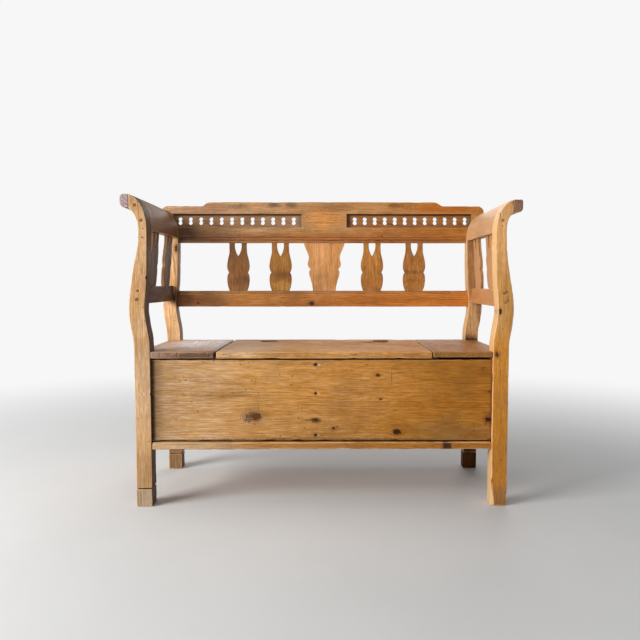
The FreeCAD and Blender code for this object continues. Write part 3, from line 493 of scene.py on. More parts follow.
@dataclass(frozen=True)
class PineFinish:
    """Old waxed pine of one board."""

    early: Colour = (0.50, 0.25, 0.080)
    late: Colour = (0.24, 0.092, 0.022)
    pale: Colour = (0.60, 0.335, 0.135)
    worn: Colour = (0.66, 0.40, 0.185)
    end: Colour = (0.20, 0.105, 0.052)
    ring_width: float = 0.0052
    pith: Tuple[float, float] = (0.01, 0.085)
    tilt: float = 0.03
    wobble: float = 0.022
    ring_strength: float = 0.78
    streak_strength: float = 0.58
    fleck: float = 0.15
    shimmer: float = 0.10
    grime_strength: float = 0.34
    scratch_strength: float = 0.45
    roughness: float = 0.47
    specular: float = 0.26
    bump: float = 0.55
    seed: float = 1.0
    knots: Tuple[Knot, ...] = ()
    patches: Tuple[Patch, ...] = ()
    # Painted light and shade on faces that point inward: shade on the left end, light on the right; the lid's
    # underside has its own colour.
    side: Colour = (0.0, 0.0, 0.0)
    side_strength: float = 0.0
    # Share of the painted light, paler on the lit left and deeper on the shaded right.
    painted_light_sweep: float = 0.0

    END_RING_SHADE = 0.3
    FIBRE_SWING = 0.2
    WARM_SHARE = 0.7
    GLEAM_SHARES = (0.5, 1.0, 2.6)
    RELIEF_DEPTH = 0.0012

    def toned(self, red: float, green: float, blue: float) -> "PineFinish":
        """The same finish with its colours multiplied.

        Args:
            red: factor of the red parts.
            green: factor of the green parts.
            blue: factor of the blue parts.

        Returns:
            The new finish.
        """
        def turn(colour: Colour) -> Colour:
            """One colour multiplied."""
            return (colour[0] * red, colour[1] * green, colour[2] * blue)

        return replace(self, early=turn(self.early), late=turn(self.late), pale=turn(self.pale))

    def material(self, name: str, grain: Grain, centre: Sequence[float],
                 groups: WoodGroups) -> bpy.types.Material:
        """Make the board's own material.

        Args:
            name: the material's name.
            grain: how the board lies in its log.
            centre: middle of the board, in metres.
            groups: the shared shader groups.

        Returns:
            The material.
        """
        material = bpy.data.materials.new(name)
        tree = blank(material)
        place = tree.out("ShaderNodeTexCoord", part="Object")
        parts = dict(zip("xyz", tree.split(tree.vector("SUBTRACT", place, tuple(centre)))))
        grained = tree.join(*(parts[axis] for axis in grain.value))
        age = tree.group(groups.age, {"Vector": grained, "Seed": self.seed})
        knots = []
        for knot in self.knots:
            there = grain.turned([a - b for a, b in zip(knot.place, centre)])
            feeds = {"Vector": grained, "Centre": there, "Radius": knot.radius}
            knots.append(tree.group(groups.knot, feeds))
            grained = knots[-1]["Vector"]
        figure = tree.group(groups.figure, {
            "Vector": grained, "Ring Width": self.ring_width, "Pith": (0.0, *self.pith), "Tilt": self.tilt,
            "Wobble": self.wobble, "Seed": self.seed,
        })
        colour = self._aged(tree, place, figure, age, self._wood(tree, groups, place, figure, knots))
        shader = self._surface(tree, figure, age, colour)
        tree.put(tree.add("ShaderNodeOutputMaterial").inputs["Surface"], shader)
        return material

    def _wood(self, tree: Tree, groups: WoodGroups, place: Socket, figure: Sockets,
              knots: Sequence[Sockets]) -> Socket:
        """Colour of the wood with its end grain, patches, figure, painted sheen and knots.

        Args:
            tree: the material's tree.
            groups: the shared shader groups.
            place: object coordinates.
            figure: outputs of the figure group.
            knots: outputs of each knot's group.

        Returns:
            The colour's socket.
        """
        colour = tree.mix(figure["Tone"], self.pale, self.early)
        ticks = tree.math("MAXIMUM", figure["Late"], tree.times(figure["Streak"], 0.3))
        dark_end = tuple(part * self.END_RING_SHADE for part in self.end)
        ended = tree.mix(tree.step(ticks, 0.05, 0.55, 0.0, 0.9), self.end, dark_end)
        colour = tree.stain(colour, tree.mark(END_GRAIN), 0.85, ended)
        for patch in self.patches:
            feeds = {
                "Vector": place, "Centre": patch.place, "Size": patch.size, "Ragged": patch.ragged,
                "Fineness": patch.fineness,
            }
            mask = tree.group(groups.patch, feeds)["Mask"]
            colour = tree.stain(colour, mask, patch.strength, patch.colour)
        colour = tree.stain(colour, figure["Late"], self.ring_strength, self.late)
        colour = tree.stain(colour, figure["Streak"], self.streak_strength, self.late)
        fibre = tree.swing(figure["Fibre"], self.FIBRE_SWING)
        fleck = tree.swing(figure["Fleck"], self.fleck)
        warm = tree.swing(figure["Fleck"], self.fleck * self.WARM_SHARE)
        shades = [tree.times(fibre, part) for part in (warm, fleck, tree.times(fleck, fleck))]
        # Painted sheen: pale, greyer streaks along the grain, standing in for the wax's reflections.
        gleam = [tree.swing(figure["Shimmer"], share * self.shimmer) for share in self.GLEAM_SHARES]
        for factors in (shades, gleam):
            colour = tree.mix(1.0, colour, tree.join(*factors), "MULTIPLY")
        for knot, shape in zip(self.knots, knots):
            core = tuple(red + (black - red) * knot.dark for red, black in zip(KNOT_RED, KNOT_BLACK))
            colour = tree.stain(colour, shape["Halo"], 0.4, KNOT_HALO)
            colour = tree.stain(colour, shape["Core"], 0.97, core)
            colour = tree.stain(colour, shape["Rim"], 0.95, KNOT_RIM)
        return colour

    def _aged(self, tree: Tree, place: Socket, figure: Sockets, age: Sockets, colour: Socket) -> Socket:
        """The wood's colour with painted light left to right, rubbed arrises, painted side shading and marks
        of age.

        Args:
            tree: the material's tree.
            place: object coordinates.
            figure: outputs of the figure group.
            age: outputs of the age group.
            colour: the wood's colour.

        Returns:
            The colour's socket.
        """
        colour = tree.stain(colour, age["Grime"], self.grime_strength, GRIME)
        # Painted light: paler and greyer to the left, deeper and more saturated to the right.
        if self.painted_light_sweep:
            tint = tree.mix(tree.step(tree.split(place)[0], -PAINTED_LIGHT_REACH, PAINTED_LIGHT_REACH), PAINTED_LIGHT_LEFT, PAINTED_SHADE_RIGHT)
            colour = tree.mix(self.painted_light_sweep, colour, tint, "MULTIPLY")
        rubbed = tree.step(tree.noise(place, 17.0, 5.0, 0.65), 0.36, 0.60, 0.15, 0.85)
        colour = tree.stain(colour, tree.mark(ARRIS), rubbed, self.worn)
        # Painted shade on the inner faces of the left end, painted light on those of the right end.
        if self.side_strength:
            shade = tree.step(figure["Tone"], 0.0, 1.0, 0.8, 1.0)
            inner = tree.times(tree.mark(INNER_SIDE), shade)
            colour = tree.stain(colour, inner, self.side_strength, self.side)
        colour = tree.stain(colour, age["Specks"], 0.55, SPECK)
        colour = tree.stain(colour, age["Scratch"], self.scratch_strength, SCRATCH)
        return tree.stain(colour, age["Pits"], 0.9, PIT)

    def _surface(self, tree: Tree, figure: Sockets, age: Sockets, colour: Socket) -> Socket:
        """Shader of the waxed surface.

        Args:
            tree: the material's tree.
            figure: outputs of the figure group.
            age: outputs of the age group.
            colour: the wood's colour.

        Returns:
            The shader's socket.
        """
        dull = tree.plus(self.roughness, tree.times(age["Grime"], 0.14))
        rough = tree.less(dull, tree.times(figure["Late"], 0.08))
        rough = tree.plus(rough, tree.times(tree.less(figure["Fibre"], 0.5), 0.16))
        height = tree.plus(tree.times(figure["Late"], 0.35), tree.times(figure["Fibre"], 0.22))
        height = tree.plus(height, tree.times(age["Dents"], 0.9))
        for mark, depth in (("Pits", 1.5), ("Specks", 0.25), ("Scratch", self.scratch_strength * 1.3)):
            height = tree.less(height, tree.times(age[mark], depth))
        relief = {"Strength": self.bump, "Distance": self.RELIEF_DEPTH, "Height": height}
        return tree.out("ShaderNodeBsdfPrincipled", {
            "Base Color": colour, "Roughness": rough, "Normal": tree.out("ShaderNodeBump", relief, "Normal"),
            "Specular IOR Level": self.specular,
        }, "BSDF")


# The settle's pines, from the panel's honey to the seat end's brown.
HONEY = PineFinish()
TAN = replace(HONEY.toned(1.05, 1.22, 1.5), late=(0.29, 0.112, 0.032))
AMBER = HONEY.toned(0.86, 0.68, 0.42)
UMBER = HONEY.toned(0.66, 0.56, 0.40)
WALNUT = HONEY.toned(0.52, 0.47, 0.50)


@dataclass(frozen=True)
class IronFinish:
    """Old hand-forged iron, brown with rust."""

    dark: Colour = (0.030, 0.022, 0.019)
    rust: Colour = (0.055, 0.023, 0.012)
    roughness: float = 0.62
    specular: float = 0.2
    relief_depth: float = 0.0004

    def material(self, name: str) -> bpy.types.Material:
        """Make the iron's material.

        Args:
            name: the material's name.

        Returns:
            The material.
        """
        material = bpy.data.materials.new(name)
        tree = blank(material)
        place = tree.out("ShaderNodeTexCoord", part="Object")
        bloom = tree.noise(place, 190.0, 5.0, 0.65)
        rough = tree.step(bloom, 0.3, 0.7, self.roughness - 0.14, self.roughness + 0.2)
        pitted = tree.noise(place, 700.0, 4.0, 0.6)
        relief = {"Strength": 0.6, "Distance": self.relief_depth, "Height": pitted}
        shader = tree.out("ShaderNodeBsdfPrincipled", {
            "Base Color": tree.mix(tree.step(bloom, 0.4, 0.62), self.dark, self.rust), "Roughness": rough,
            "Metallic": tree.step(bloom, 0.35, 0.65, 0.6, 0.05),
            "Normal": tree.out("ShaderNodeBump", relief, "Normal"), "Specular IOR Level": self.specular,
        }, "BSDF")
        tree.put(tree.add("ShaderNodeOutputMaterial").inputs["Surface"], shader)
        return material


def link(item: bpy.types.Object) -> bpy.types.Object:
    """Put an object in the scene."""
    bpy.context.scene.collection.objects.link(item)
    return item


def settled(item: bpy.types.Object) -> bpy.types.Object:
    """Turn an object's modifiers into a plain mesh.

    Args:
        item: the object, already in the scene.

    Returns:
        The same object with no modifiers.
    """
    graph = bpy.context.evaluated_depsgraph_get()
    mesh = bpy.data.meshes.new_from_object(item.evaluated_get(graph))
    item.modifiers.clear()
    item.data = mesh
    return item


def paint(mesh: bpy.types.Mesh, material: bpy.types.Material) -> None:
    """Give a mesh one material."""
    mesh.materials.clear()
    mesh.materials.append(material)


def merged(node: str) -> bmesh.types.BMesh:
    """Copy of a solid's mesh with its corners joined and its flat faces whole.

    Args:
        node: the solid's name.

    Returns:
        The mesh, to be freed by the caller.
    """
    shape = bmesh.new()
    shape.from_mesh(frame["nodes"][node].data)
    bmesh.ops.remove_doubles(shape, verts=shape.verts, dist=SAME_POINT)
    bmesh.ops.dissolve_limit(shape, angle_limit=FLAT_TURN, verts=shape.verts, edges=shape.edges)
    return shape


def islands(node: str) -> List[Tuple[Vector, Vector]]:
    """Lowest and highest corners of each separate solid of a node.

    Args:
        node: the node's name.

    Returns:
        One pair of corners for each solid.
    """
    shape = merged(node)
    left, boxes = set(shape.verts), []
    while left:
        front, seen = [left.pop()], []
        while front:
            vert = front.pop()
            seen.append(vert.co.copy())
            for edge in vert.link_edges:
                other = edge.other_vert(vert)
                if other in left:
                    left.remove(other)
                    front.append(other)
        low = Vector([min(co[axis] for co in seen) for axis in range(3)])
        boxes.append((low, Vector([max(co[axis] for co in seen) for axis in range(3)])))
    shape.free()
    return sorted(boxes, key=lambda box: tuple(box[0]))


def hand_over(piece: bpy.types.Object, body: Body, slot: Slot, *nodes: str) -> None:
    """Let a piece stand for solids and ride on their body.

    Args:
        piece: the finished piece.
        body: the body that it moves with.
        slot: not used.
        *nodes: the solids' names.
    """
    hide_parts(*nodes)
    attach(piece, body.value)
    log.info("%s: %d faces", piece.name, len(piece.data.polygons))


@dataclass(frozen=True)
class Trim:
    """Wood taken off one side of a board, where it has shrunk or been planed."""

    axis: int
    high: bool
    by: float


@dataclass(frozen=True)
class Chip:
    """A splinter broken out of an arris."""

    place: Place
    radius: float
    depth: float


@dataclass
class Board:
    """One board of the settle, worn from its solid."""

    node: str
    grain: Grain
    finish: PineFinish
    slot: Slot = Slot.FRAME
    body: Body = Body.FRAME
    ease: float = 0.0016
    sway: float = 0.0006
    nick: float = 0.0012
    trims: Tuple[Trim, ...] = ()
    chips: Tuple[Chip, ...] = ()
    longest: float = 0.014
    # Way that the inner faces point, for the finish's painted light and shade.
    inward: Place = (0.0, 0.0, 0.0)
    piece: Optional[bpy.types.Object] = field(default=None, repr=False)

    def build(self) -> "Board":
        """Make the worn mesh: eased arrises, faces a little out of true."""
        shape = merged(self.node)
        self._trim(shape)
        self._divide(shape)
        shape.normal_update()
        arrises = [edge for edge in shape.edges if self._sharp(edge) and edge.is_convex]
        made = bmesh.ops.bevel(
            shape, geom=arrises, offset=self.ease, offset_type="OFFSET", segments=2, profile=0.55,
            affect="EDGES", clamp_overlap=False,
        )
        eased = set(made["faces"])
        flats = [face for face in shape.faces if len(face.verts) > 4 and face not in eased]
        bmesh.ops.triangulate(shape, faces=flats, ngon_method="BEAUTY")
        normals = self._normals(shape, eased)
        self._wear(shape, eased)
        self._mark(shape, eased)
        for face in shape.faces:
            face.smooth = True
        mesh = bpy.data.meshes.new(self.node + "_worn")
        shape.to_mesh(mesh)
        shape.free()
        mesh.normals_split_custom_set(normals)
        self.piece = link(bpy.data.objects.new(self.node + "_worn", mesh))
        return self

    @staticmethod
    def _normals(shape: bmesh.types.BMesh, eased: set) -> List[Vector]:
        """Normals of the faces' corners: flat on faces, smooth round curves and arrises.

        Args:
            shape: the board's mesh, before it is worn.
            eased: the faces of its arrises.

        Returns:
            One normal for each corner, face by face.
        """
        shape.normal_update()
        weighed = {face: face.normal * face.calc_area() for face in shape.faces}
        normals = []
        for face in shape.faces:
            for loop in face.loops:
                near = [other for other in loop.vert.link_faces if other not in eased]
                if face not in eased:
                    near = [other for other in near if other.normal.dot(face.normal) > SAME_SHADE]
                total = sum((weighed[other] for other in near or loop.vert.link_faces), Vector())
                normals.append(total.normalized() if total.length else face.normal.copy())
        return normals

    @staticmethod
    def _sharp(edge: bmesh.types.BMEdge) -> bool:
        """Whether an edge is an arris rather than part of a curve."""
        return edge.is_manifold and edge.calc_face_angle(0.0) > ARRIS_TURN

    def _trim(self, shape: bmesh.types.BMesh) -> None:
        """Plane the trimmed sides down."""
        for trim in self.trims:
            values = [vert.co[trim.axis] for vert in shape.verts]
            limit, way = (max(values), -1.0) if trim.high else (min(values), 1.0)
            for vert in shape.verts:
                if abs(vert.co[trim.axis] - limit) < TRIM_REACH:
                    vert.co[trim.axis] += way * trim.by

    def _divide(self, shape: bmesh.types.BMesh) -> None:
        """Halve the long arrises until they can follow the wear."""
        waiting = [edge for edge in shape.edges if self._sharp(edge)]
        while waiting:
            edge = waiting.pop()
            if edge.calc_length() > self._limit(edge):
                fresh, _ = bmesh.utils.edge_split(edge, edge.verts[0], 0.5)
                waiting += [edge, fresh]

    def _limit(self, edge: bmesh.types.BMEdge) -> float:
        """Longest length of an edge, shorter near a chip."""
        middle, half = (edge.verts[0].co + edge.verts[1].co) / 2, edge.calc_length() / 2
        near = any((middle - Vector(chip.place)).length < chip.radius + half for chip in self.chips)
        return CHIP_STEP if near else self.longest

    def _wear(self, shape: bmesh.types.BMesh, eased: set) -> None:
        """Bend the faces a little, nick the arrises and break out the chips."""
        shape.normal_update()
        seed = Vector((self.finish.seed * SEED_STEP,) * 3)
        rubbed = {vert for face in eased for vert in face.verts}
        for vert in shape.verts:
            move = noise.noise_vector(vert.co * SWAY_SCALE + seed) * self.sway
            if vert in rubbed:
                hit = noise.noise(vert.co * NICK_SCALE + seed) - NICK_LEAST
                move -= vert.normal * max(0.0, hit) * self.nick * NICK_DEPTH
            for chip in self.chips:
                gap = (vert.co - Vector(chip.place)).length / chip.radius
                if gap < 1.0:
                    move -= vert.normal * chip.depth * (1.0 - gap * gap)
            vert.co += move

    def _mark(self, shape: bmesh.types.BMesh, eased: set) -> None:
        """Mark eased arrises, end grain and the inner sides, for painted light and shade, on the faces'
        corners.
        """
        arris, end, inner = (shape.loops.layers.float.new(name) for name in (ARRIS, END_GRAIN, INNER_SIDE))
        axis = "xyz".index(self.grain.value[0])
        for face in shape.faces:
            across = abs(face.normal[axis])
            facing = face.normal.dot(Vector(self.inward)) * INNER_SLOPE - INNER_START
            rim = max(edge.calc_length() for edge in face.edges) < RIM_LENGTH
            rubbed = face in eased and not rim and face.normal.z > UNDERSIDE
            for loop in face.loops:
                loop[arris] = float(rubbed)
                loop[end] = float(across > ENDWISE)
                loop[inner] = min(1.0, max(0.0, facing))

    def dress(self, groups: WoodGroups) -> None:
        """Give the board its pine and let it stand for its solid.

        Args:
            groups: the shared shader groups.
        """
        low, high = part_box(self.node)
        material = self.finish.material(self.node + "_pine", self.grain, (low + high) / 2, groups)
        paint(self.piece.data, material)
        hand_over(self.piece, self.body, self.slot, self.node)


class PieceTree:
    """Geometry nodes with named inputs, run once for each piece."""

    NAME = ""
    VALUES: Tuple[str, ...] = ()
    COUNTS: Tuple[str, ...] = ()
    VECTORS: Tuple[str, ...] = ()
    OBJECTS: Tuple[str, ...] = ()

    def __init__(self) -> None:
        """Make the tree's sockets and let it lay out its nodes."""
        self.tree = bpy.data.node_groups.new(self.NAME, "GeometryNodeTree")
        kinds = (
            (("Geometry",), "Geometry"), (self.VALUES, "Float"), (self.COUNTS, "Int"),
            (self.VECTORS, "Vector"), (self.OBJECTS, "Object"), (("Material",), "Material"),
        )
        for names, kind in kinds:
            for name in names:
                self.tree.interface.new_socket(name, in_out="INPUT", socket_type="NodeSocket" + kind)
        self.tree.interface.new_socket("Geometry", in_out="OUTPUT", socket_type="NodeSocketGeometry")
        tree = Tree(self.tree)
        feed = {socket.name: socket for socket in tree.add("NodeGroupInput").outputs}
        real = tree.out("GeometryNodeRealizeInstances", {0: self.lay(tree, feed)})
        painted = tree.out("GeometryNodeSetMaterial", {0: real, "Material": feed["Material"]})
        tree.put(tree.add("NodeGroupOutput").inputs[0], painted)

    def lay(self, tree: Tree, feed: Sockets) -> Socket:
        """Lay out the nodes that make the piece.

        Args:
            tree: the tree.
            feed: its input sockets by name.

        Returns:
            The geometry's socket.
        """
        raise NotImplementedError

    def run(self, name: str, places: Sequence[Sequence[float]],
            inputs: Dict[str, object]) -> bpy.types.Object:
        """Make one piece.

        Args:
            name: the piece's name.
            places: points that the tree starts from, in metres.
            inputs: values of the tree's inputs by name.

        Returns:
            The piece, as a plain mesh.
        """
        mesh = bpy.data.meshes.new(name)
        mesh.from_pydata([tuple(place) for place in places], [], [])
        piece = link(bpy.data.objects.new(name, mesh))
        modifier = piece.modifiers.new(name, "NODES")
        modifier.node_group = self.tree
        keys = {s.name: s.identifier for s in self.tree.interface.items_tree if s.in_out == "INPUT"}
        for key, value in inputs.items():
            modifier[keys[key]] = value
        return settled(piece)


class FixingTree(PieceTree):
    """A headed fixing, such as a peg or nail, at each point."""

    NAME = "Driven fixings"
    VALUES = ("Head Radius", "Head Depth", "Shank Radius", "Length", "Proud")
    COUNTS = ("Sides", "Seed")
    VECTORS = ("Turn",)

    def lay(self, tree: Tree, feed: Sockets) -> Socket:
        """Join head and shank, and set one at each point, a little turned."""
        radius, depth, length = feed["Head Radius"], feed["Head Depth"], feed["Length"]
        crown = {
            "Radius Top": tree.times(radius, 0.72), "Radius Bottom": radius, "Depth": tree.times(depth, 0.4),
        }
        rim = {"Radius": radius, "Depth": tree.times(depth, 0.6)}
        shank = {"Radius": feed["Shank Radius"], "Depth": length}
        middle = tree.less(tree.times(length, -0.5), tree.times(depth, 0.9))
        whole = tree.joined(*(
            tree.raised(tree.out(kind, {"Vertices": feed["Sides"], **sizes}, "Mesh"), height)
            for kind, sizes, height in (
                ("GeometryNodeMeshCone", crown, tree.times(depth, -0.4)),
                ("GeometryNodeMeshCylinder", rim, tree.times(depth, -0.7)),
                ("GeometryNodeMeshCylinder", shank, middle),
            )
        ))
        feeds = {2: 0.0, 3: 1.0, "Seed": feed["Seed"]}
        luck = tree.out("FunctionNodeRandomValue", feeds, 1, data_type="FLOAT")
        twist = tree.join(0.0, 0.0, tree.times(luck, math.tau))
        spin = tree.out("FunctionNodeEulerToRotation", {0: twist})
        aim = tree.out("FunctionNodeEulerToRotation", {0: feed["Turn"]})
        turned = tree.out("FunctionNodeRotateRotation", {0: aim, 1: spin}, rotation_space="LOCAL")
        lift = tree.join(0.0, 0.0, tree.times(luck, feed["Proud"]))
        rise = tree.out("FunctionNodeRotateVector", {0: lift, 1: aim})
        moved = tree.out("GeometryNodeSetPosition", {0: feed["Geometry"], "Offset": rise})
        return tree.on_points(moved, whole, Rotation=turned)


class FretTree(PieceTree):
    """A strip pierced with a row of figures of eight, at its starting point."""

    NAME = "Pierced strip"
    VALUES = ("Length", "Height", "Thickness", "First", "Pitch", "Hole Radius", "Hole Rise")
    COUNTS = ("Holes",)
    HOLE_POINTS = 44
    SEAM = 0.00002

    def lay(self, tree: Tree, feed: Sockets) -> Socket:
        """Fill the strip's outline round the holes and give it its thickness."""
        rise, radius, thick = feed["Hole Rise"], feed["Hole Radius"], feed["Thickness"]
        feeds = {"Resolution": self.HOLE_POINTS, "Radius": 1.0}
        ring = tree.out("GeometryNodeCurvePrimitiveCircle", feeds, "Curve", mode="RADIUS")
        cos, sin, _ = tree.split(tree.out("GeometryNodeInputPosition"))
        side = tree.times(rise, cos)
        flank = tree.math("SQRT", tree.less(tree.times(radius, radius), tree.times(side, side)))
        reach = tree.plus(tree.times(rise, tree.math("ABSOLUTE", sin)), flank)
        bent = tree.join(tree.times(reach, cos), tree.times(reach, sin), 0.0)
        figure = tree.out("GeometryNodeSetPosition", {0: ring, "Position": bent})
        row = tree.out("GeometryNodeMeshLine", {
            "Count": feed["Holes"], "Start Location": tree.join(feed["First"], 0.0, 0.0),
            "Offset": tree.join(feed["Pitch"], 0.0, 0.0),
        }, mode="OFFSET")
        holes = tree.out("GeometryNodeRealizeInstances", {0: tree.on_points(row, figure)})
        border = tree.out("GeometryNodeCurvePrimitiveQuadrilateral", {0: feed["Length"], 1: feed["Height"]})
        sheet = tree.out("GeometryNodeFillCurve", {0: tree.joined(border, holes)}, mode="TRIANGLES")
        rear = tree.raised(sheet, tree.times(thick, -0.5))
        feeds = {"Mesh": rear, "Offset": (0.0, 0.0, 1.0), "Offset Scale": thick, "Individual": False}
        drawn = tree.out("GeometryNodeExtrudeMesh", feeds, "Mesh", mode="FACES")
        whole = tree.joined(drawn, tree.out("GeometryNodeFlipFaces", {0: rear}))
        closed = tree.out("GeometryNodeMergeByDistance", {0: whole, "Distance": self.SEAM})
        upright = tree.out("GeometryNodeTransform", {0: closed, "Rotation": (math.pi / 2, 0.0, 0.0)})
        return tree.on_points(feed["Geometry"], upright)


class SplatTree(PieceTree):
    """A row of like splats, one at each point."""

    NAME = "Splat row"
    OBJECTS = ("Splat",)

    def lay(self, tree: Tree, feed: Sockets) -> Socket:
        """Set the pattern splat at each point."""
        feeds = {"Object": feed["Splat"]}
        pattern = tree.out("GeometryNodeObjectInfo", feeds, "Geometry", transform_space="ORIGINAL")
        return tree.on_points(feed["Geometry"], pattern)


@dataclass
class SubAssembly:
    """Boards that are built and dressed together."""

    boards: List[Board] = field(default_factory=list, init=False)

    def cut(self) -> List[Board]:
        """Boards of this sub-assembly, before they are built."""
        raise NotImplementedError

    def build(self) -> "SubAssembly":
        """Build every worn board."""
        self.boards = [board.build() for board in self.cut()]
        return self

    def dress(self, groups: WoodGroups) -> None:
        """Dress every board."""
        for board in self.boards:
            board.dress(groups)


@dataclass
class EndFrame(SubAssembly):
    """Posts, arm and feet of one end of the settle."""

    side: str
    front: PineFinish
    rear: PineFinish
    rear_foot: PineFinish
    arm: PineFinish
    rail: PineFinish
    roll_end: Colour
    foot: Optional[PineFinish] = None
    chips: Tuple[Chip, ...] = ()
    post_ease: float = 0.0026
    board_ease: float = 0.0018
    roll_ease: float = 0.0034
    splat_ease: float = 0.0012
    # Painted shade on the front edges of the arm rail and splats, and on the front of the rear foot.
    front_edge_shade: float = 0.0
    rear_foot_shade: float = 0.0
    foot_z: float = 0.056
    foot_gap: float = 0.0024
    seam_size: Place = (0.4, 0.4, 0.0050)

    POST_GRAIN = {
        "pith": (0.02, 0.035), "tilt": 0.012, "ring_width": 0.0042, "wobble": 0.012, "scratch_strength": 0.2,
    }

    def cut(self) -> List[Board]:
        """Boards of this end."""
        side, seed = self.side, self.front.seed
        front, rear = replace(self.front, **self.POST_GRAIN), replace(self.rear, **self.POST_GRAIN)
        arm = replace(self.arm, pith=(-0.06, 0.09), tilt=0.03, seed=seed + 2.0, scratch_strength=0.15)
        rail = replace(self.rail, seed=seed + 4.0, scratch_strength=0.15)
        roll = replace(
            arm, seed=seed + 3.0, end=self.roll_end, worn=self.roll_end, ring_width=0.009, pith=(0.03, 0.02),
        )
        splat = replace(rail, seed=seed + 5.0, pith=(0.02, 0.04), ring_width=0.004)
        inner = 1.0 if side == "left" else -1.0
        inward, turned = (inner, 0.0, 0.0), (inner, -self.front_edge_shade, 0.0)
        boards = [
            Board(f"front_{side}_post", Grain.UPRIGHT_FRONT, front, ease=self.post_ease, chips=self.chips,
                  inward=inward),
            Board(f"rear_{side}_post", Grain.UPRIGHT_FRONT, rear, ease=self.post_ease, inward=inward),
            Board(f"{side}_arm_board", Grain.DEPTH_UPRIGHT, arm, ease=self.board_ease, inward=inward),
            Board(f"{side}_arm_roll", Grain.DEPTH_UPRIGHT, roll, ease=self.roll_ease),
            Board(f"{side}_arm_rail", Grain.DEPTH_UPRIGHT, rail, ease=self.board_ease, inward=turned),
        ]
        for place, pine, tint in (("front", self.foot, 0.0), ("rear", self.rear_foot, self.rear_foot_shade)):
            name, foot = f"{side}_arm_splat_{place}", f"{place}_{side}_foot"
            boards.append(Board(name, Grain.UPRIGHT_SIDE, splat, ease=self.splat_ease, inward=turned))
            if foot in frame["nodes"]:
                boards.append(self._foot(foot, pine, (inner, -tint, 0.0)))
        return boards

    def _foot(self, node: str, pine: PineFinish, inward: Place) -> Board:
        """A foot pieced on to a post, with dirt in the seam.

        Args:
            node: the foot's solid.
            pine: the foot's wood.
            inward: way that its sides with painted light and shade face.

        Returns:
            The foot.
        """
        low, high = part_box(node)
        seam = Patch(((low.x + high.x) / 2, (low.y + high.y) / 2, self.foot_z), self.seam_size,
                     BLACK_DIRT_AND_SHADE, 0.85, 0.4)
        finish = replace(pine, seed=self.front.seed + 7.0, patches=(*pine.patches, seam), **self.POST_GRAIN)
        trims = (Trim(2, True, self.foot_gap),)
        return Board(node, Grain.UPRIGHT_FRONT, finish, ease=self.post_ease, trims=trims, inward=inward)


def left_end() -> EndFrame:
    """The left end: paler in front, with painted shade on its inner sides, and two chips in the front post.
    """
    # Painted shade on the inner faces of the left end.
    shaded = replace(TAN, side=(0.076, 0.042, 0.032), side_strength=0.9, specular=0.12)
    front = replace(
        shaded.toned(0.95, 0.92, 1.0), seed=2.0, side=(0.058, 0.030, 0.023), specular=0.07,
        ring_strength=0.6, streak_strength=0.42,
        patches=Patch.row(
            -0.2, 0.3,
            (-0.53, 0.80, 0.2, 0.15, (0.66, 0.43, 0.235), 0.6, 0.4),
            (-0.53, 0.38, 0.2, 0.10, (0.68, 0.45, 0.25), 0.7, 0.4),
            (-0.53, 0.11, 0.2, 0.07, (0.40, 0.235, 0.11), 0.5, 0.4),
        ) + Patch.row(
            -0.211, 0.03,
            (-0.5065, 0.676, 0.0062, 0.0066, BLACK_DIRT_AND_SHADE, 0.95, 0.5),
            (-0.501, 0.3355, 0.0040, 0.0050, BLACK_DIRT_AND_SHADE, 0.9, 0.5),
            (-0.5180, 0.7925, 0.0050, 0.0034, BLACK_DIRT_AND_SHADE, 0.9, 0.6),
        ),
    )
    rear = replace(
        shaded.toned(1.38, 1.38, 1.55), seed=3.0, side_strength=0.7,
        knots=(Knot((-0.508, 0.169, 0.781), 0.010, 0.6),),
        patches=(
            # Painted shade: darker low down under the seat, and black where the arm rail shades the post.
            Patch((-0.52, 0.165, 0.05), (0.3, 0.015, 0.25), (0.15, 0.08, 0.04), 0.85, 0.3),
            Patch((-0.500, 0.165, 0.607), (0.060, 0.1, 0.042), (0.022, 0.009, 0.007), 0.97, 0.3),
        ),
    )
    return EndFrame(
        "left", front, rear,
        foot=shaded.toned(0.78, 0.94, 1.34),
        # Painted shade: the rear foot is darker where it stands under the seat.
        rear_foot=shaded.toned(0.52, 0.51, 0.56),
        # Darker arm, partly its own wood and partly painted shade, with painted shade on its inner faces.
        arm=replace(
            shaded.toned(0.66, 0.58, 0.54), roughness=0.42, specular=0.16, side=(0.215, 0.094, 0.042),
        ),
        rail=replace(shaded, side=(0.068, 0.027, 0.023), side_strength=0.95, specular=0.07),
        roll_end=(0.40, 0.33, 0.345),
        front_edge_shade=0.6,
        chips=(Chip((-0.5065, -0.211, 0.676), 0.008, 0.006), Chip((-0.501, -0.211, 0.3355), 0.006, 0.004)),
    )


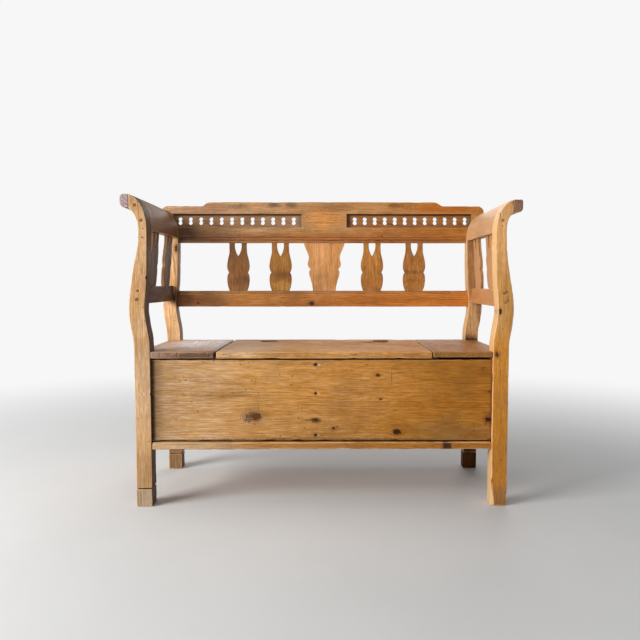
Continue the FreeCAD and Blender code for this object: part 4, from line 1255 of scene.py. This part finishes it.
def right_end() -> EndFrame:
    """The right end: amber in front, painted light on its inner sides, and a close rear foot in painted
    shade.
    """
    # Painted light on the inner faces of the right end.
    lit = replace(TAN, side=(0.78, 0.46, 0.20), side_strength=0.7, worn=(0.80, 0.50, 0.25))
    front = replace(
        lit.toned(1.22, 0.98, 0.61), seed=4.0, side=(0.79, 0.515, 0.25), side_strength=0.75,
        ring_strength=0.55, streak_strength=0.36,
        knots=(Knot((0.5127, -0.211, 0.4514), 0.0055, 0.2), Knot((0.519, -0.211, 0.578), 0.006, 0.8)),
        patches=(
            Patch((0.52, -0.2, 0.14), (0.3, 0.5, 0.40), (0.60, 0.226, 0.016), 0.9, 0.3),
            Patch((0.52, -0.2, 0.42), (0.3, 0.5, 0.13), (0.80, 0.31, 0.030), 0.75, 0.3),
            Patch((0.54, -0.2, 0.80), (0.2, 0.3, 0.16), (0.97, 0.51, 0.20), 0.8, 0.4),
            Patch((0.501, -0.211, 0.03), (0.008, 0.05, 0.05), (0.88, 0.66, 0.48), 0.6, 0.6),
            Patch((0.535, -0.2, 0.02), (0.06, 0.5, 0.06), (0.30, 0.15, 0.06), 0.7, 0.8),
        ) + Patch.row(
            -0.211, 0.03,
            (0.5156, 0.863, 0.0034, 0.013, (0.12, 0.055, 0.022), 0.9, 0.5),
            # Painted highlight on the right-hand edge of the notch.
            (0.5198, 0.862, 0.0040, 0.012, (0.95, 0.70, 0.45), 0.6, 0.5),
            (0.5380, 0.632, 0.0065, 0.009, (0.14, 0.065, 0.018), 0.92, 1.2, 160.0),
            (0.5400, 0.608, 0.0070, 0.008, (0.14, 0.065, 0.018), 0.92, 1.2, 160.0),
        ),
    )
    rear = replace(
        lit.toned(0.92, 0.75, 0.64), seed=5.0,
        patches=(
            # Painted shade: the post is darker low down, under the seat.
            Patch((0.52, 0.165, 0.05), (0.3, 0.015, 0.25), (0.06, 0.016, 0.003), 0.95, 0.3),
        ) + Patch.row(
            0.165, 0.1,
            (0.52, 0.540, 0.2, 0.092, (0.84, 0.49, 0.21), 0.92, 0.3),
            (0.50, 0.462, 0.08, 0.026, (0.12, 0.07, 0.04), 0.75, 0.9),
            (0.50, 0.461, 0.08, 0.010, BLACK_DIRT_AND_SHADE, 0.9, 0.6),
        ),
    )
    return EndFrame(
        "right", front, rear,
        # Painted shade: the rear foot is dark, darkest on its inner side and front.
        rear_foot=replace(
            TAN.toned(0.8, 0.6, 0.45), side=(0.05, 0.008, 0.001), side_strength=0.95, specular=0.04,
            worn=(0.2, 0.09, 0.03),
        ),
        arm=replace(lit.toned(1.10, 1.0, 0.98), side=(0.55, 0.30, 0.155)),
        rail=replace(lit.toned(1.02, 0.82, 0.70), side=(0.51, 0.235, 0.082)),
        roll_end=(0.24, 0.125, 0.077),
        rear_foot_shade=1.0,
        foot_gap=0.0004,
    )


@dataclass
class Back(SubAssembly):
    """Crest, pierced strips, middle rail and splats."""

    frets: FretTree
    splats: SplatTree
    hole_count: int = 12
    hole_radius: float = 0.0072
    hole_rise: float = 0.0064
    block_middle: float = 0.005
    block_width: float = 0.158
    inner_margin: float = 0.029
    outer_hole: float = 0.503
    splat_nodes: Tuple[str, ...] = (
        "outer_left_splat", "inner_left_splat", "inner_right_splat", "outer_right_splat",
    )
    splat_ease: float = 0.0014

    def cut(self) -> List[Board]:
        """Boards of the back."""
        rail = replace(
            HONEY.toned(1.33, 1.0, 0.62), pith=(0.05, 0.04), ring_width=0.0048, seed=13.0, painted_light_sweep=1.0,
            ring_strength=0.9,
            knots=(Knot((-0.040, 0.186, 0.589), 0.0065), Knot((-0.441, 0.186, 0.590), 0.003)),
            patches=Patch.row(
                0.186, 0.1,
                # Painted shadow at the rail's left end, where the arm rail and rear post shade it.
                (-0.494, 0.605, 0.052, 0.2, BLACK_DIRT_AND_SHADE, 0.88, 0.4),
                (-0.43, 0.605, 0.14, 0.2, (0.26, 0.10, 0.03), 0.6, 0.5),
                (0.20, 0.600, 0.32, 0.016, (0.54, 0.21, 0.042), 0.6, 0.9),
                (0.0, 0.631, 0.9, 0.006, (0.30, 0.17, 0.10), 0.6, 1.0),
            ),
        )
        middle = replace(
            HONEY.toned(1.58, 1.45, 1.42), pith=(0.03, 0.05), seed=17.0, tilt=0.02, ring_strength=0.85,
            late=(0.40, 0.135, 0.040),
        )
        return [
            Board("crest_rail", Grain.LENGTH_UPRIGHT, self._crest(), ease=0.0012),
            Board("back_mid_rail", Grain.LENGTH_UPRIGHT, rail, ease=0.0015),
            Board("centre_splat", Grain.UPRIGHT_FRONT, middle, ease=self.splat_ease),
        ]

    @staticmethod
    def _crest() -> PineFinish:
        """Crest's finish: its red lower band, paler block, dark marks on top and painted shade under the left
        arm.
        """
        return replace(
            HONEY.toned(1.26, 1.24, 1.3), pith=(-0.03, 0.05), ring_width=0.0044, seed=11.0, painted_light_sweep=1.0,
            patches=Patch.row(
                0.19, 0.1,
                (0.0, 0.90, 1.4, 0.3, (0.32, 0.135, 0.045), 0.3, 5.0, 110.0),
                (0.0, 0.815, 0.75, 0.034, (0.46, 0.148, 0.028), 0.75, 0.5),
                # Painted shade at the lower left end, under the arm.
                (-0.40, 0.825, 0.16, 0.05, (0.27, 0.10, 0.040), 0.5, 0.8),
                (-0.492, 0.822, 0.085, 0.075, (0.05, 0.019, 0.017), 0.85, 0.3),
                (-0.172, 0.933, 0.030, 0.016, (0.12, 0.085, 0.05), 0.85, 1.4),
                (-0.110, 0.934, 0.028, 0.014, (0.12, 0.085, 0.05), 0.8, 1.4),
                (-0.30, 0.928, 0.060, 0.012, (0.17, 0.10, 0.06), 0.6, 1.6),
                (-0.42, 0.92, 0.16, 0.03, (0.42, 0.175, 0.075), 0.7, 0.7),
                (0.0, 0.885, 0.085, 0.05, (0.80, 0.33, 0.078), 0.8, 0.4),
                (0.06, 0.925, 0.11, 0.016, (0.26, 0.15, 0.06), 0.6, 1.6),
                (0.42, 0.925, 0.16, 0.025, (0.54, 0.185, 0.035), 0.85, 0.6),
                (0.32, 0.838, 0.30, 0.030, (0.46, 0.175, 0.032), 0.6, 0.5),
                (0.30, 0.806, 0.36, 0.014, (0.30, 0.095, 0.022), 0.65, 0.5),
                (0.17, 0.925, 0.10, 0.022, (0.62, 0.37, 0.16), 0.5, 0.8),
                (0.255, 0.932, 0.035, 0.012, (0.22, 0.085, 0.03), 0.7, 1.6),
            ),
        )

    def dress(self, groups: WoodGroups) -> None:
        """Dress the boards, then cut the pierced strips and set the forked splats."""
        super().dress(groups)
        greenish = (0.17, 0.17, 0.09)
        self._fret(-1.0, "left_fret", UMBER.toned(1.2, 1.5, 2.9), greenish, groups)
        self._fret(1.0, "right_fret", UMBER.toned(1.08, 1.0, 1.1), BLACK_DIRT_AND_SHADE, groups)
        self._splat_row(groups)

    def _fret(self, sign: float, node: str, tone: PineFinish, dirt: Colour, groups: WoodGroups) -> None:
        """Make one pierced strip.

        Args:
            sign: -1 for the left strip, 1 for the right one.
            node: the strip's solid.
            tone: its wood.
            dirt: colour at its inner end: green paint residue on the left strip, painted shadow on the right.
            groups: the shared shader groups.
        """
        low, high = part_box(node)
        centre, size = (low + high) / 2, high - low
        first = self.block_middle + sign * (self.block_width / 2 + self.inner_margin)
        end = sign * self.outer_hole
        patches = Patch.row(
            0.2, 0.1,
            (end + sign * 0.012, 0.88, 0.02, 0.03, (0.18, 0.20, 0.10), 0.6, 1.4),
            # Inner end: green paint residue on the left strip, painted shadow on the right.
            (first - sign * 0.024, 0.88, 0.012, 0.04, dirt, 0.7, 0.8),
        # Painted shadow under the upper edge of the recess, along the top of the strip.
        ) + (Patch((centre.x, 0.199, 0.9035), (0.7, 0.1, 0.010), BLACK_DIRT_AND_SHADE, 0.9, 0.3),)
        finish = replace(tone, seed=19.0 + sign, patches=patches, streak_strength=0.7)
        material = finish.material(node + "_pine", Grain.LENGTH_UPRIGHT, centre, groups)
        piece = self.frets.run(node + "_pierced", [centre], {
            "Length": size.x, "Height": size.z, "Thickness": size.y, "First": first - centre.x,
            "Pitch": (end - first) / (self.hole_count - 1), "Hole Radius": self.hole_radius,
            "Hole Rise": self.hole_rise, "Holes": self.hole_count, "Material": material,
        })
        hand_over(piece, Body.FRAME, Slot.FRAME, node)

    def _splat_row(self, groups: WoodGroups) -> None:
        """Make the four forked splats from one pattern.

        Args:
            groups: the shared shader groups.
        """
        finish = replace(
            UMBER.toned(1.76, 1.62, 1.25), seed=29.0, pith=(0.2, 0.05), ring_width=0.004, grime_strength=0.5,
            fleck=0.3, worn=(0.17, 0.078, 0.030),
            patches=Patch.row(
                0.2, 0.1,
                (0.0, 0.72, 1.0, 0.3, (0.20, 0.085, 0.025), 0.3, 5.0, 170.0),
                (-0.285, 0.72, 0.11, 0.2, (0.35, 0.158, 0.052), 0.85, 0.2),
                (-0.285, 0.668, 0.06, 0.024, (0.17, 0.085, 0.036), 0.6, 1.6),
                (-0.139, 0.650, 0.05, 0.030, (0.84, 0.44, 0.11), 0.85, 1.0),
                (-0.139, 0.690, 0.06, 0.014, (0.24, 0.12, 0.034), 0.65, 2.0),
                (-0.139, 0.735, 0.05, 0.045, (0.68, 0.335, 0.075), 0.7, 1.0),
                (0.17, 0.74, 0.05, 0.09, (0.66, 0.29, 0.060), 0.75, 0.6),
                (0.318, 0.70, 0.05, 0.010, (0.20, 0.082, 0.026), 0.6, 3.0),
                (0.318, 0.668, 0.05, 0.012, (0.20, 0.082, 0.026), 0.5, 3.0),
                (0.318, 0.65, 0.06, 0.020, (0.50, 0.215, 0.045), 0.6, 0.8),
            ),
        )
        pattern = Board(self.splat_nodes[0], Grain.UPRIGHT_FRONT, finish, ease=self.splat_ease).build().piece
        boxes = [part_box(node) for node in self.splat_nodes]
        feet = [Vector(((low.x + high.x) / 2, low.y, low.z)) for low, high in boxes]
        for vert in pattern.data.vertices:
            vert.co -= feet[0]
        material = finish.material("forked_splats_pine", Grain.UPRIGHT_FRONT, (0.0, 0.196, 0.72), groups)
        piece = self.splats.run("forked_splats", feet, {"Splat": pattern, "Material": material})
        bpy.data.objects.remove(pattern)
        hand_over(piece, Body.FRAME, Slot.FRAME, *self.splat_nodes)


@dataclass
class Chest(SubAssembly):
    """Panels, floor and rails of the chest."""

    face: float = -0.203
    top_gap: float = 0.0050
    ledge_gap: float = 0.0042
    nail_x: float = -0.018
    chip_width: float = 0.0074
    nail_chips: Tuple[Tuple[float, float], ...] = ((0.2114, 0.5), (0.3358, 0.75), (0.4214, 0.9))
    nail_stains: Tuple[Tuple[float, float], ...] = (
        (0.2114, 0.008), (0.2564, 0.022), (0.3358, 0.007), (0.4214, 0.0105),
    )
    dents: Tuple[Tuple[float, float], ...] = (
        (-0.482, 0.283), (-0.430, 0.258), (-0.418, 0.373), (-0.406, 0.384), (-0.400, 0.375), (-0.366, 0.283),
        (-0.348, 0.430), (-0.264, 0.339), (-0.239, 0.421), (-0.224, 0.347), (-0.207, 0.375), (-0.187, 0.339),
        (-0.125, 0.391), (-0.091, 0.361), (-0.087, 0.387), (-0.069, 0.263), (-0.051, 0.233),
    )

    def cut(self) -> List[Board]:
        """Boards of the chest."""
        plain = replace(AMBER.toned(1.05, 1.1, 1.2), seed=43.0)
        ledge = replace(
            HONEY.toned(0.80, 0.64, 0.38), painted_light_sweep=1.0, seed=47.0, pith=(0.01, 0.03), ring_width=0.004,
            wobble=0.012, scratch_strength=0.0, worn=(0.68, 0.40, 0.17),
            knots=(Knot((0.368, -0.205, 0.181), 0.0085, 0.6),),
            patches=Patch.row(
                -0.21, 0.2,
                (-0.45, 0.18, 0.29, 0.1, (0.57, 0.325, 0.135), 0.92, 0.5),
                (0.40, 0.18, 0.40, 0.1, (0.47, 0.20, 0.034), 0.9, 0.5),
            ) + Patch.row(
                -0.21, 0.05,
                # Painted shade along the ledge's lower edge, next to the floor.
                (-0.30, 0.166, 0.5, 0.008, BLACK_DIRT_AND_SHADE, 0.85, 1.2),
                (0.25, 0.166, 0.5, 0.008, BLACK_DIRT_AND_SHADE, 0.85, 1.2),
            ),
        )
        trims = (Trim(2, True, self.top_gap), Trim(2, False, self.ledge_gap))
        boards = [
            Board("front_panel", Grain.LENGTH_UPRIGHT, self._front(), Slot.PANEL, ease=0.0014, nick=0.0018,
                  trims=trims, longest=0.007),
            Board("back_panel", Grain.LENGTH_UPRIGHT, plain, Slot.PANEL),
            Board("front_bottom_rail", Grain.LENGTH_FLAT, ledge, Slot.PANEL, ease=0.0036, nick=0.002,
                  longest=0.010),
            Board("rear_bottom_rail", Grain.LENGTH_FLAT, replace(ledge, seed=48.0, knots=()), Slot.PANEL),
        ]
        hidden = (
            ("front_panel_batten", Grain.UPRIGHT_FRONT, 55.0),
            ("left_side_panel", Grain.DEPTH_UPRIGHT, 51.0), ("right_side_panel", Grain.DEPTH_UPRIGHT, 53.0),
            ("floor_board_1", Grain.LENGTH_FLAT, 58.0), ("floor_board_2", Grain.LENGTH_FLAT, 59.0),
            ("floor_board_3", Grain.LENGTH_FLAT, 60.0),
            ("left_seat_bearer", Grain.DEPTH_FLAT, 61.0), ("right_seat_bearer", Grain.DEPTH_FLAT, 61.0),
        )
        for node, grain, seed in hidden:
            boards.append(Board(node, grain, replace(plain, seed=seed), Slot.PANEL))
        return boards

    def _front(self) -> PineFinish:
        """Front panel's finish: knots, stains, dents, the marks round its nails and the left post's painted
        shadow.
        """
        face = self.face
        return replace(
            HONEY, pith=(0.075, 0.055), tilt=0.014, seed=41.0, ring_width=0.0062, ring_strength=0.56,
            streak_strength=0.5, grime_strength=0.34, fleck=0.18, shimmer=0.17, specular=0.12, painted_light_sweep=0.5,
            pale=(0.65, 0.365, 0.150),
            knots=(
                Knot((-0.192, face, 0.2665), 0.0105, 0.1), Knot((0.221, face, 0.2215), 0.0085, 0.75),
                Knot((0.1645, face, 0.390), 0.0042, 0.6), Knot((0.1725, face, 0.319), 0.0026, 0.0),
                Knot((0.034, face, 0.2325), 0.0040, 0.5), Knot((0.492, face, 0.257), 0.0066, 0.7),
            ),
            patches=Patch.row(
                face, 0.2,
                # Paler to the left, deeper orange to the right: partly the wood's own tone, partly painted
                # light.
                (-0.09, 0.31, 0.26, 0.32, (0.585, 0.270, 0.063), 0.7, 0.4),
                (0.46, 0.30, 0.62, 0.42, ORANGE, 0.85, 0.3),
                (0.10, 0.36, 0.28, 0.14, (0.625, 0.285, 0.069), 0.72, 0.5),
                (-0.40, 0.36, 0.16, 0.3, (0.56, 0.315, 0.135), 0.6, 0.4),
            ) + Patch.row(
                face, 0.05,
                (-0.2030, 0.268, 0.052, 0.036, (0.42, 0.27, 0.150), 0.6, 0.8),
                (-0.2115, 0.267, 0.026, 0.021, (0.055, 0.030, 0.022), 0.88, 4.4, 250.0),
                (0.0, 0.194, 0.62, 0.011, (0.05, 0.034, 0.022), 0.9, 1.6, 160.0),
                (-0.30, 0.330, 0.17, 0.010, (0.30, 0.15, 0.055), 0.55, 1.8),
                (0.07, 0.345, 0.10, 0.010, (0.30, 0.135, 0.04), 0.35, 2.4),
                (-0.038, 0.2570, 0.026, 0.0022, BLACK_DIRT_AND_SHADE, 0.8, 0.9, 200.0),
                (0.205, 0.387, 0.0012, 0.034, (0.13, 0.06, 0.02), 0.8, 0.5),
                (-0.059, 0.292, 0.0012, 0.022, (0.16, 0.08, 0.03), 0.8, 0.6),
                (-0.072, 0.300, 0.0010, 0.014, (0.18, 0.09, 0.03), 0.7, 0.6),
                (0.1725, 0.319, 0.011, 0.006, (0.24, 0.080, 0.020), 0.75, 0.9, 160.0),
                (0.474, 0.408, 0.013, 0.011, (0.22, 0.070, 0.018), 0.8, 1.4, 160.0),
            ) + Patch.row(
                face, 0.2,
                (-0.03, 0.214, 0.16, 0.034, (0.44, 0.205, 0.052), 0.4, 0.6),
                (0.03, 0.318, 0.22, 0.045, (0.66, 0.31, 0.082), 0.5, 0.6),
            ) + Patch.row(
                face, 0.05,
                (0.0445, 0.2368, 0.008, 0.0036, (0.10, 0.03, 0.010), 0.85, 0.9, 200.0),
            ) + Patch.row(
                face, 0.2,
                # Painted shadow that the left post casts on the panel, softest outermost, black next to the
                # post.
                (-0.503, 0.316, 0.13, 0.7, (0.26, 0.15, 0.075), 0.38, 0.3),
                (-0.503, 0.316, 0.046, 0.7, (0.10, 0.055, 0.03), 0.5, 0.15),
                (-0.503, 0.316, 0.017, 0.7, (0.018, 0.009, 0.005), 0.94, 0.15),
                (0.503, 0.30, 0.012, 0.3, (0.16, 0.055, 0.02), 0.7, 1.2),
            ) + Patch.row(
                face, 0.05,
                (0.44, 0.216, 0.13, 0.026, (0.30, 0.13, 0.04), 0.6, 1.8),
                (0.36, 0.220, 0.20, 0.050, (0.34, 0.18, 0.055), 0.6, 0.6),
                (0.40, 0.1935, 0.14, 0.007, (0.50, 0.40, 0.30), 0.7, 1.2),
                (0.497, 0.340, 0.030, 0.008, (0.16, 0.055, 0.02), 0.7, 1.6, 160.0),
                (0.480, 0.395, 0.032, 0.020, (0.30, 0.105, 0.02), 0.6, 1.6, 160.0),
                (0.492, 0.262, 0.026, 0.034, (0.20, 0.07, 0.02), 0.6, 1.6, 160.0),
                *((x, z, 0.0040, 0.0032, (0.17, 0.07, 0.022), 0.8, 0.9, 200.0) for x, z in self.dents),
                *((self.nail_x + self.chip_width, z, self.chip_width, 0.0052, BARE_WOOD, strength, 0.7, 200.0)
                  for z, strength in self.nail_chips),
                *((self.nail_x - 0.001, z, wide, max(0.0074, wide * 0.55), BLACK_DIRT_AND_SHADE, 0.92, 0.8, 200.0)
                  for z, wide in self.nail_stains),
            ),
        )


@dataclass
class Seat(SubAssembly):
    """Lid, fixed ends and rear strip of the seat."""

    end_gap: float = 0.0040
    under_gap: float = 0.0028
    front_ease: float = 0.0034
    lid_ease: float = 0.0028
    cracks: Tuple[float, ...] = (-0.475, -0.424, -0.331)
    lid_ends: Tuple[float, float] = (-0.3105, 0.3245)

    def cut(self) -> List[Board]:
        """Boards of the seat."""
        right = replace(
            WALNUT.toned(1.82, 1.58, 0.84), seed=75.0, roughness=0.5, end=(0.47, 0.22, 0.055), bump=0.4,
            specular=0.045, worn=(0.38, 0.20, 0.07), fleck=0.3,
            patches=(
                Patch((0.42, -0.05, 0.46), (0.30, 0.5, 0.2), (0.15, 0.07, 0.028), 0.28, 6.0, 120.0),
                Patch((0.335, -0.02, 0.46), (0.020, 0.4, 0.1), (0.14, 0.062, 0.022), 0.4, 0.8),
            ),
        )
        lid = replace(
            HONEY.toned(1.10, 0.95, 0.60), painted_light_sweep=1.0, seed=73.0, pith=(0.05, -0.06), tilt=0.012,
            ring_width=0.006, roughness=0.5, scratch_strength=0.0, specular=0.043, fleck=0.3,
            side=(0.50, 0.27, 0.11), side_strength=0.85,
            # Painted shade on the lid's ends, in the gaps to the seat ends.
            patches=tuple(
                Patch((x, -0.05, 0.45), (0.004, 0.6, 0.1), BLACK_DIRT_AND_SHADE, 0.9, 0.2) for x in self.lid_ends
            ) + (
                Patch((0.0, -0.211, 0.45), (0.5, 0.02, 0.006), (0.56, 0.32, 0.14), 0.35, 1.0),
                Patch((0.22, -0.213, 0.45), (0.30, 0.02, 0.03), (0.60, 0.32, 0.15), 0.5, 0.6),
                Patch((0.10, -0.10, 0.46), (0.22, 0.06, 0.03), (0.36, 0.18, 0.07), 0.5, 0.7),
                Patch((-0.26, -0.04, 0.462), (0.20, 0.4, 0.030), (0.66, 0.43, 0.25), 0.78, 0.5),
            ),
        )
        return [
            Board("left_seat_end", Grain.DEPTH_FLAT, self._left_end(), Slot.SEAT, ease=self.front_ease,
                  trims=(Trim(0, True, self.end_gap),)),
            Board("right_seat_end", Grain.DEPTH_FLAT, right, Slot.SEAT, ease=self.front_ease,
                  trims=(Trim(2, False, self.under_gap),)),
            Board("seat_back_rail", Grain.LENGTH_FLAT, replace(lid, seed=77.0), Slot.SEAT),
            Board("seat_lid", Grain.LENGTH_FLAT, lid, Slot.SEAT, Body.LID, ease=self.lid_ease, nick=0.002,
                  longest=0.010, inward=(0.0, 0.0, -1.0)),
            Board("left_lid_cleat", Grain.DEPTH_FLAT, replace(AMBER, seed=79.0), Slot.SEAT, Body.LID),
            Board("right_lid_cleat", Grain.DEPTH_FLAT, replace(AMBER, seed=81.0), Slot.SEAT, Body.LID),
        ]

    def _left_end(self) -> PineFinish:
        """Left seat end's finish: painted sheen on top, painted shade in the lid gap, dark cracks in the end
        grain.
        """
        return replace(
            WALNUT.toned(1.7, 1.65, 1.75), seed=71.0, roughness=0.36, specular=0.22, end=(0.21, 0.108, 0.056),
            bump=0.3, worn=(0.35, 0.23, 0.16),
            patches=(
                Patch((-0.320, -0.21, 0.45), (0.034, 0.03, 0.05), BLACK_DIRT_AND_SHADE, 0.85, 0.6),
                Patch((-0.46, -0.05, 0.46), (0.09, 0.3, 0.05), (0.52, 0.35, 0.26), 0.7, 0.6),
                # Painted sheen: a pale patch on the top toward the back.
                Patch((-0.38, 0.05, 0.46), (0.20, 0.27, 0.05), (0.98, 0.84, 0.76), 0.95, 0.6),
                Patch((-0.41, -0.213, 0.45), (0.3, 0.011, 0.04), (0.31, 0.168, 0.094), 0.8, 0.3),
                Patch((-0.37, -0.213, 0.436), (0.10, 0.03, 0.012), BLACK_DIRT_AND_SHADE, 0.7, 1.4),
                Patch((-0.37, -0.213, 0.444), (0.12, 0.02, 0.024), (0.04, 0.02, 0.013), 0.7, 4.0, 75.0),
                Patch((-0.49, -0.213, 0.448), (0.04, 0.02, 0.030), (0.36, 0.23, 0.17), 0.7, 1.0),
                # Painted shade on the side face in the gap to the lid.
                Patch((-0.316, -0.05, 0.45), (0.007, 0.6, 0.1), BLACK_DIRT_AND_SHADE, 0.92, 0.2),
            ) + tuple(
                Patch((x, -0.211, 0.45), (0.0022, 0.02, 0.03), BLACK_DIRT_AND_SHADE, 0.85, 0.7) for x in self.cracks
            ),
        )


@dataclass(frozen=True)
class Fixing:
    """Shape of one kind of headed fixing."""

    head: float
    shank: float
    depth: float
    sides: int
    proud: float


@dataclass
class Fixings:
    """Pegs, nails, screws and hinges."""

    tree: FixingTree
    peg: Fixing = Fixing(head=0.0043, shank=0.003999, depth=0.0030, sides=9, proud=0.0006)
    nail: Fixing = Fixing(head=0.0032, shank=0.0016, depth=0.0012, sides=4, proud=0.0002)
    brad: Fixing = Fixing(head=0.0014, shank=0.0009, depth=0.0008, sides=6, proud=0.0002)
    screw: Fixing = Fixing(head=0.0034, shank=0.0017, depth=0.0012, sides=14, proud=0.0001)
    pieces: List[Tuple[bpy.types.Object, Body, Slot, str]] = field(default_factory=list, init=False)

    def build(self) -> "Fixings":
        """Set the pegs, nails, brads and screws at their solids' heads."""
        self._set("front_arm_pegs", Aim.FRONT, self.peg, Slot.PEG, 5)
        self._set("rear_arm_pegs", Aim.REAR, self.peg, Slot.PEG, 6)
        self._set("front_panel_nails", Aim.FRONT, self.nail, Slot.IRON, 7)
        self._set("fret_pins", Aim.REAR, self.brad, Slot.IRON, 8)
        self._set("floor_nails", Aim.UP, self.nail, Slot.IRON, 9)
        self._set("lid_cleat_screws", Aim.DOWN, self.screw, Slot.IRON, 10, Body.LID)
        return self

    def _set(self, node: str, aim: Aim, form: Fixing, slot: Slot, seed: int, body: Body = Body.FRAME) -> None:
        """Set the fixings of one node.

        Args:
            node: the solids' node.
            aim: where their heads point.
            form: their shape.
            slot: the material slot.
            seed: seed of their turns.
            body: the body that carries them.
        """
        axis, at_high, turn = aim.value
        boxes = islands(node)
        places = []
        for low, high in boxes:
            place = (low + high) / 2
            place[axis] = high[axis] if at_high else low[axis]
            places.append(place)
        length = boxes[0][1][axis] - boxes[0][0][axis] - form.depth
        piece = self.tree.run(node + "_driven", places, {
            "Head Radius": form.head, "Shank Radius": form.shank, "Head Depth": form.depth, "Length": length,
            "Proud": form.proud, "Sides": form.sides, "Seed": seed, "Turn": turn,
        })
        self.pieces.append((piece, body, slot, node))

    def dress(self, groups: WoodGroups) -> None:
        """Give the fixings, the hidden dowels and the hinges their finishes.

        Args:
            groups: the shared shader groups.
        """
        peg = replace(
            UMBER.toned(0.72, 0.66, 0.7), ring_width=0.0016, pith=(0.3, 0.3), seed=91.0,
            end=(0.27, 0.130, 0.070),
            patches=(Patch((0.53, -0.211, 0.72), (0.06, 0.05, 0.30), (0.52, 0.235, 0.055), 0.85, 0.2),),
        )
        finishes = {
            Slot.IRON: IronFinish().material("forged_iron"),
            Slot.PEG: peg.material("peg_wood", Grain.DEPTH_UPRIGHT, (0.0, 0.0, 0.0), groups),
        }
        hinge = IronFinish(dark=(0.20, 0.125, 0.075), rust=(0.33, 0.18, 0.09)).material("rusted_hinge_iron")
        for piece, body, slot, node in self.pieces:
            paint(piece.data, finishes[slot])
            hand_over(piece, body, slot, node)
        done = {node for _, _, _, node in self.pieces}
        for entry in frame["record"]["subparts"]:
            node = entry["node"]
            kept = [slot for slot in finishes if slot.value == entry["material_slot"]]
            if kept and node not in done:
                paint(frame["nodes"][node].data, hinge if node.startswith("hinge") else finishes[kept[0]])


@dataclass
class Studio:
    """Camera, light and floor."""

    lens: float = 35.16
    film_width: float = 36.0
    camera_place: Place = (0.016, -2.028, 0.6604)
    camera_drop: float = 0.059
    camera_turn: float = -0.0077
    camera_shift: float = -0.01905
    floor_size: float = 14.0
    floor_colour: Colour = (0.70, 0.70, 0.69)
    floor_mottle: float = 0.97

    GROUND = (0.93, 0.93, 0.93, 1.0)
    SKY = (0.93, 0.96, 1.0, 1.0)
    # Name, place, aim, size and power of each lamp.
    LAMPS = (
        ("window", (-2.85, -1.7, 1.5), (0.1, -0.1, 0.45), 1.6, 128.0),
        ("front", (-0.9, -3.6, 2.0), (0.0, 0.0, 0.5), 2.4, 15.0),
        ("top", (-0.5, 0.2, 3.2), (0.0, 0.0, 0.0), 2.4, 20.0),
        ("rear", (0.8, 3.2, 1.9), (0.0, 0.0, 0.5), 2.2, 34.0),
    )

    def build(self) -> "Studio":
        """Set up the view, the lamps and the floor."""
        scene = bpy.context.scene
        scene.view_settings.view_transform = "Standard"
        data = bpy.data.cameras.new("camera")
        data.lens = self.lens
        data.sensor_width = self.film_width
        data.shift_x = self.camera_shift
        camera = link(bpy.data.objects.new("camera", data))
        camera.location = self.camera_place
        camera.rotation_euler = (math.pi / 2 - self.camera_drop, 0.0, self.camera_turn)
        scene.camera = camera
        for lamp in self.LAMPS:
            self._lamp(*lamp)
        self._world()
        self._floor()
        return self

    @staticmethod
    def _lamp(name: str, place: Place, aim: Place, size: float, power: float) -> None:
        """Add one soft square lamp that points at a place."""
        data = bpy.data.lights.new(name, "AREA")
        data.size = size
        data.energy = power
        lamp = link(bpy.data.objects.new(name, data))
        lamp.location = place
        lamp.rotation_euler = (Vector(aim) - Vector(place)).to_track_quat("-Z", "Y").to_euler()

    def _world(self) -> None:
        """Light from all round, white to the camera and in reflections."""
        world = bpy.data.worlds.new("studio")
        tree = blank(world)
        path = tree.add("ShaderNodeLightPath").outputs
        soft = tree.out("ShaderNodeBackground", {"Color": self.SKY, "Strength": 0.19})
        white = tree.out("ShaderNodeBackground", {"Color": self.GROUND, "Strength": 1.0})
        seen = tree.math("MAXIMUM", path["Is Camera Ray"], path["Is Transmission Ray"])
        seen = tree.math("MAXIMUM", seen, tree.times(path["Is Glossy Ray"], 0.4))
        both = tree.out("ShaderNodeMixShader", {0: seen, 1: soft, 2: white})
        tree.put(tree.add("ShaderNodeOutputWorld").inputs["Surface"], both)
        bpy.context.scene.world = world

    def _floor(self) -> None:
        """Lay the pale floor, which runs into the white ground far out."""
        mesh = bpy.data.meshes.new("floor")
        shape = bmesh.new()
        bmesh.ops.create_grid(shape, x_segments=1, y_segments=1, size=self.floor_size)
        shape.to_mesh(mesh)
        shape.free()
        floor = link(bpy.data.objects.new("floor", mesh))
        material = bpy.data.materials.new("floor_pale")
        tree = blank(material)
        place = tree.out("ShaderNodeTexCoord", part="Object")
        path = tree.add("ShaderNodeLightPath").outputs
        seen = tree.math("MAXIMUM", path["Is Camera Ray"], path["Is Glossy Ray"])
        seen = tree.math("MAXIMUM", seen, path["Is Transmission Ray"])
        mottle = tree.step(tree.noise(place, 3.0, 6.0, 0.6), 0.3, 0.7)
        shade = tuple(part * self.floor_mottle for part in self.floor_colour)
        colour = tree.mix(mottle, self.floor_colour, shade)
        near = tree.out("ShaderNodeBsdfPrincipled", {"Base Color": colour, "Roughness": 0.75}, "BSDF")
        white = tree.out("ShaderNodeEmission", {"Color": self.GROUND, "Strength": 1.0})
        share = tree.times(tree.step(tree.length(place), 0.75, 3.0), seen)
        both = tree.out("ShaderNodeMixShader", {0: share, 1: near, 2: white})
        tree.put(tree.add("ShaderNodeOutputMaterial").inputs["Surface"], both)
        mesh.materials.append(material)


def main() -> None:
    """Build the settle's sub-assemblies, dress them and set up the view."""
    logging.basicConfig(level=logging.INFO)
    noise.seed_set(WEAR_SEED)
    groups = WoodGroups()
    back, fixings = Back(FretTree(), SplatTree()), Fixings(FixingTree())
    for assembly in (left_end(), right_end(), back, Chest(), Seat(), fixings):
        assembly.build().dress(groups)
        log.info("dressed %s", type(assembly).__name__)
    Studio().build()


if __name__ == "__main__":
    main()
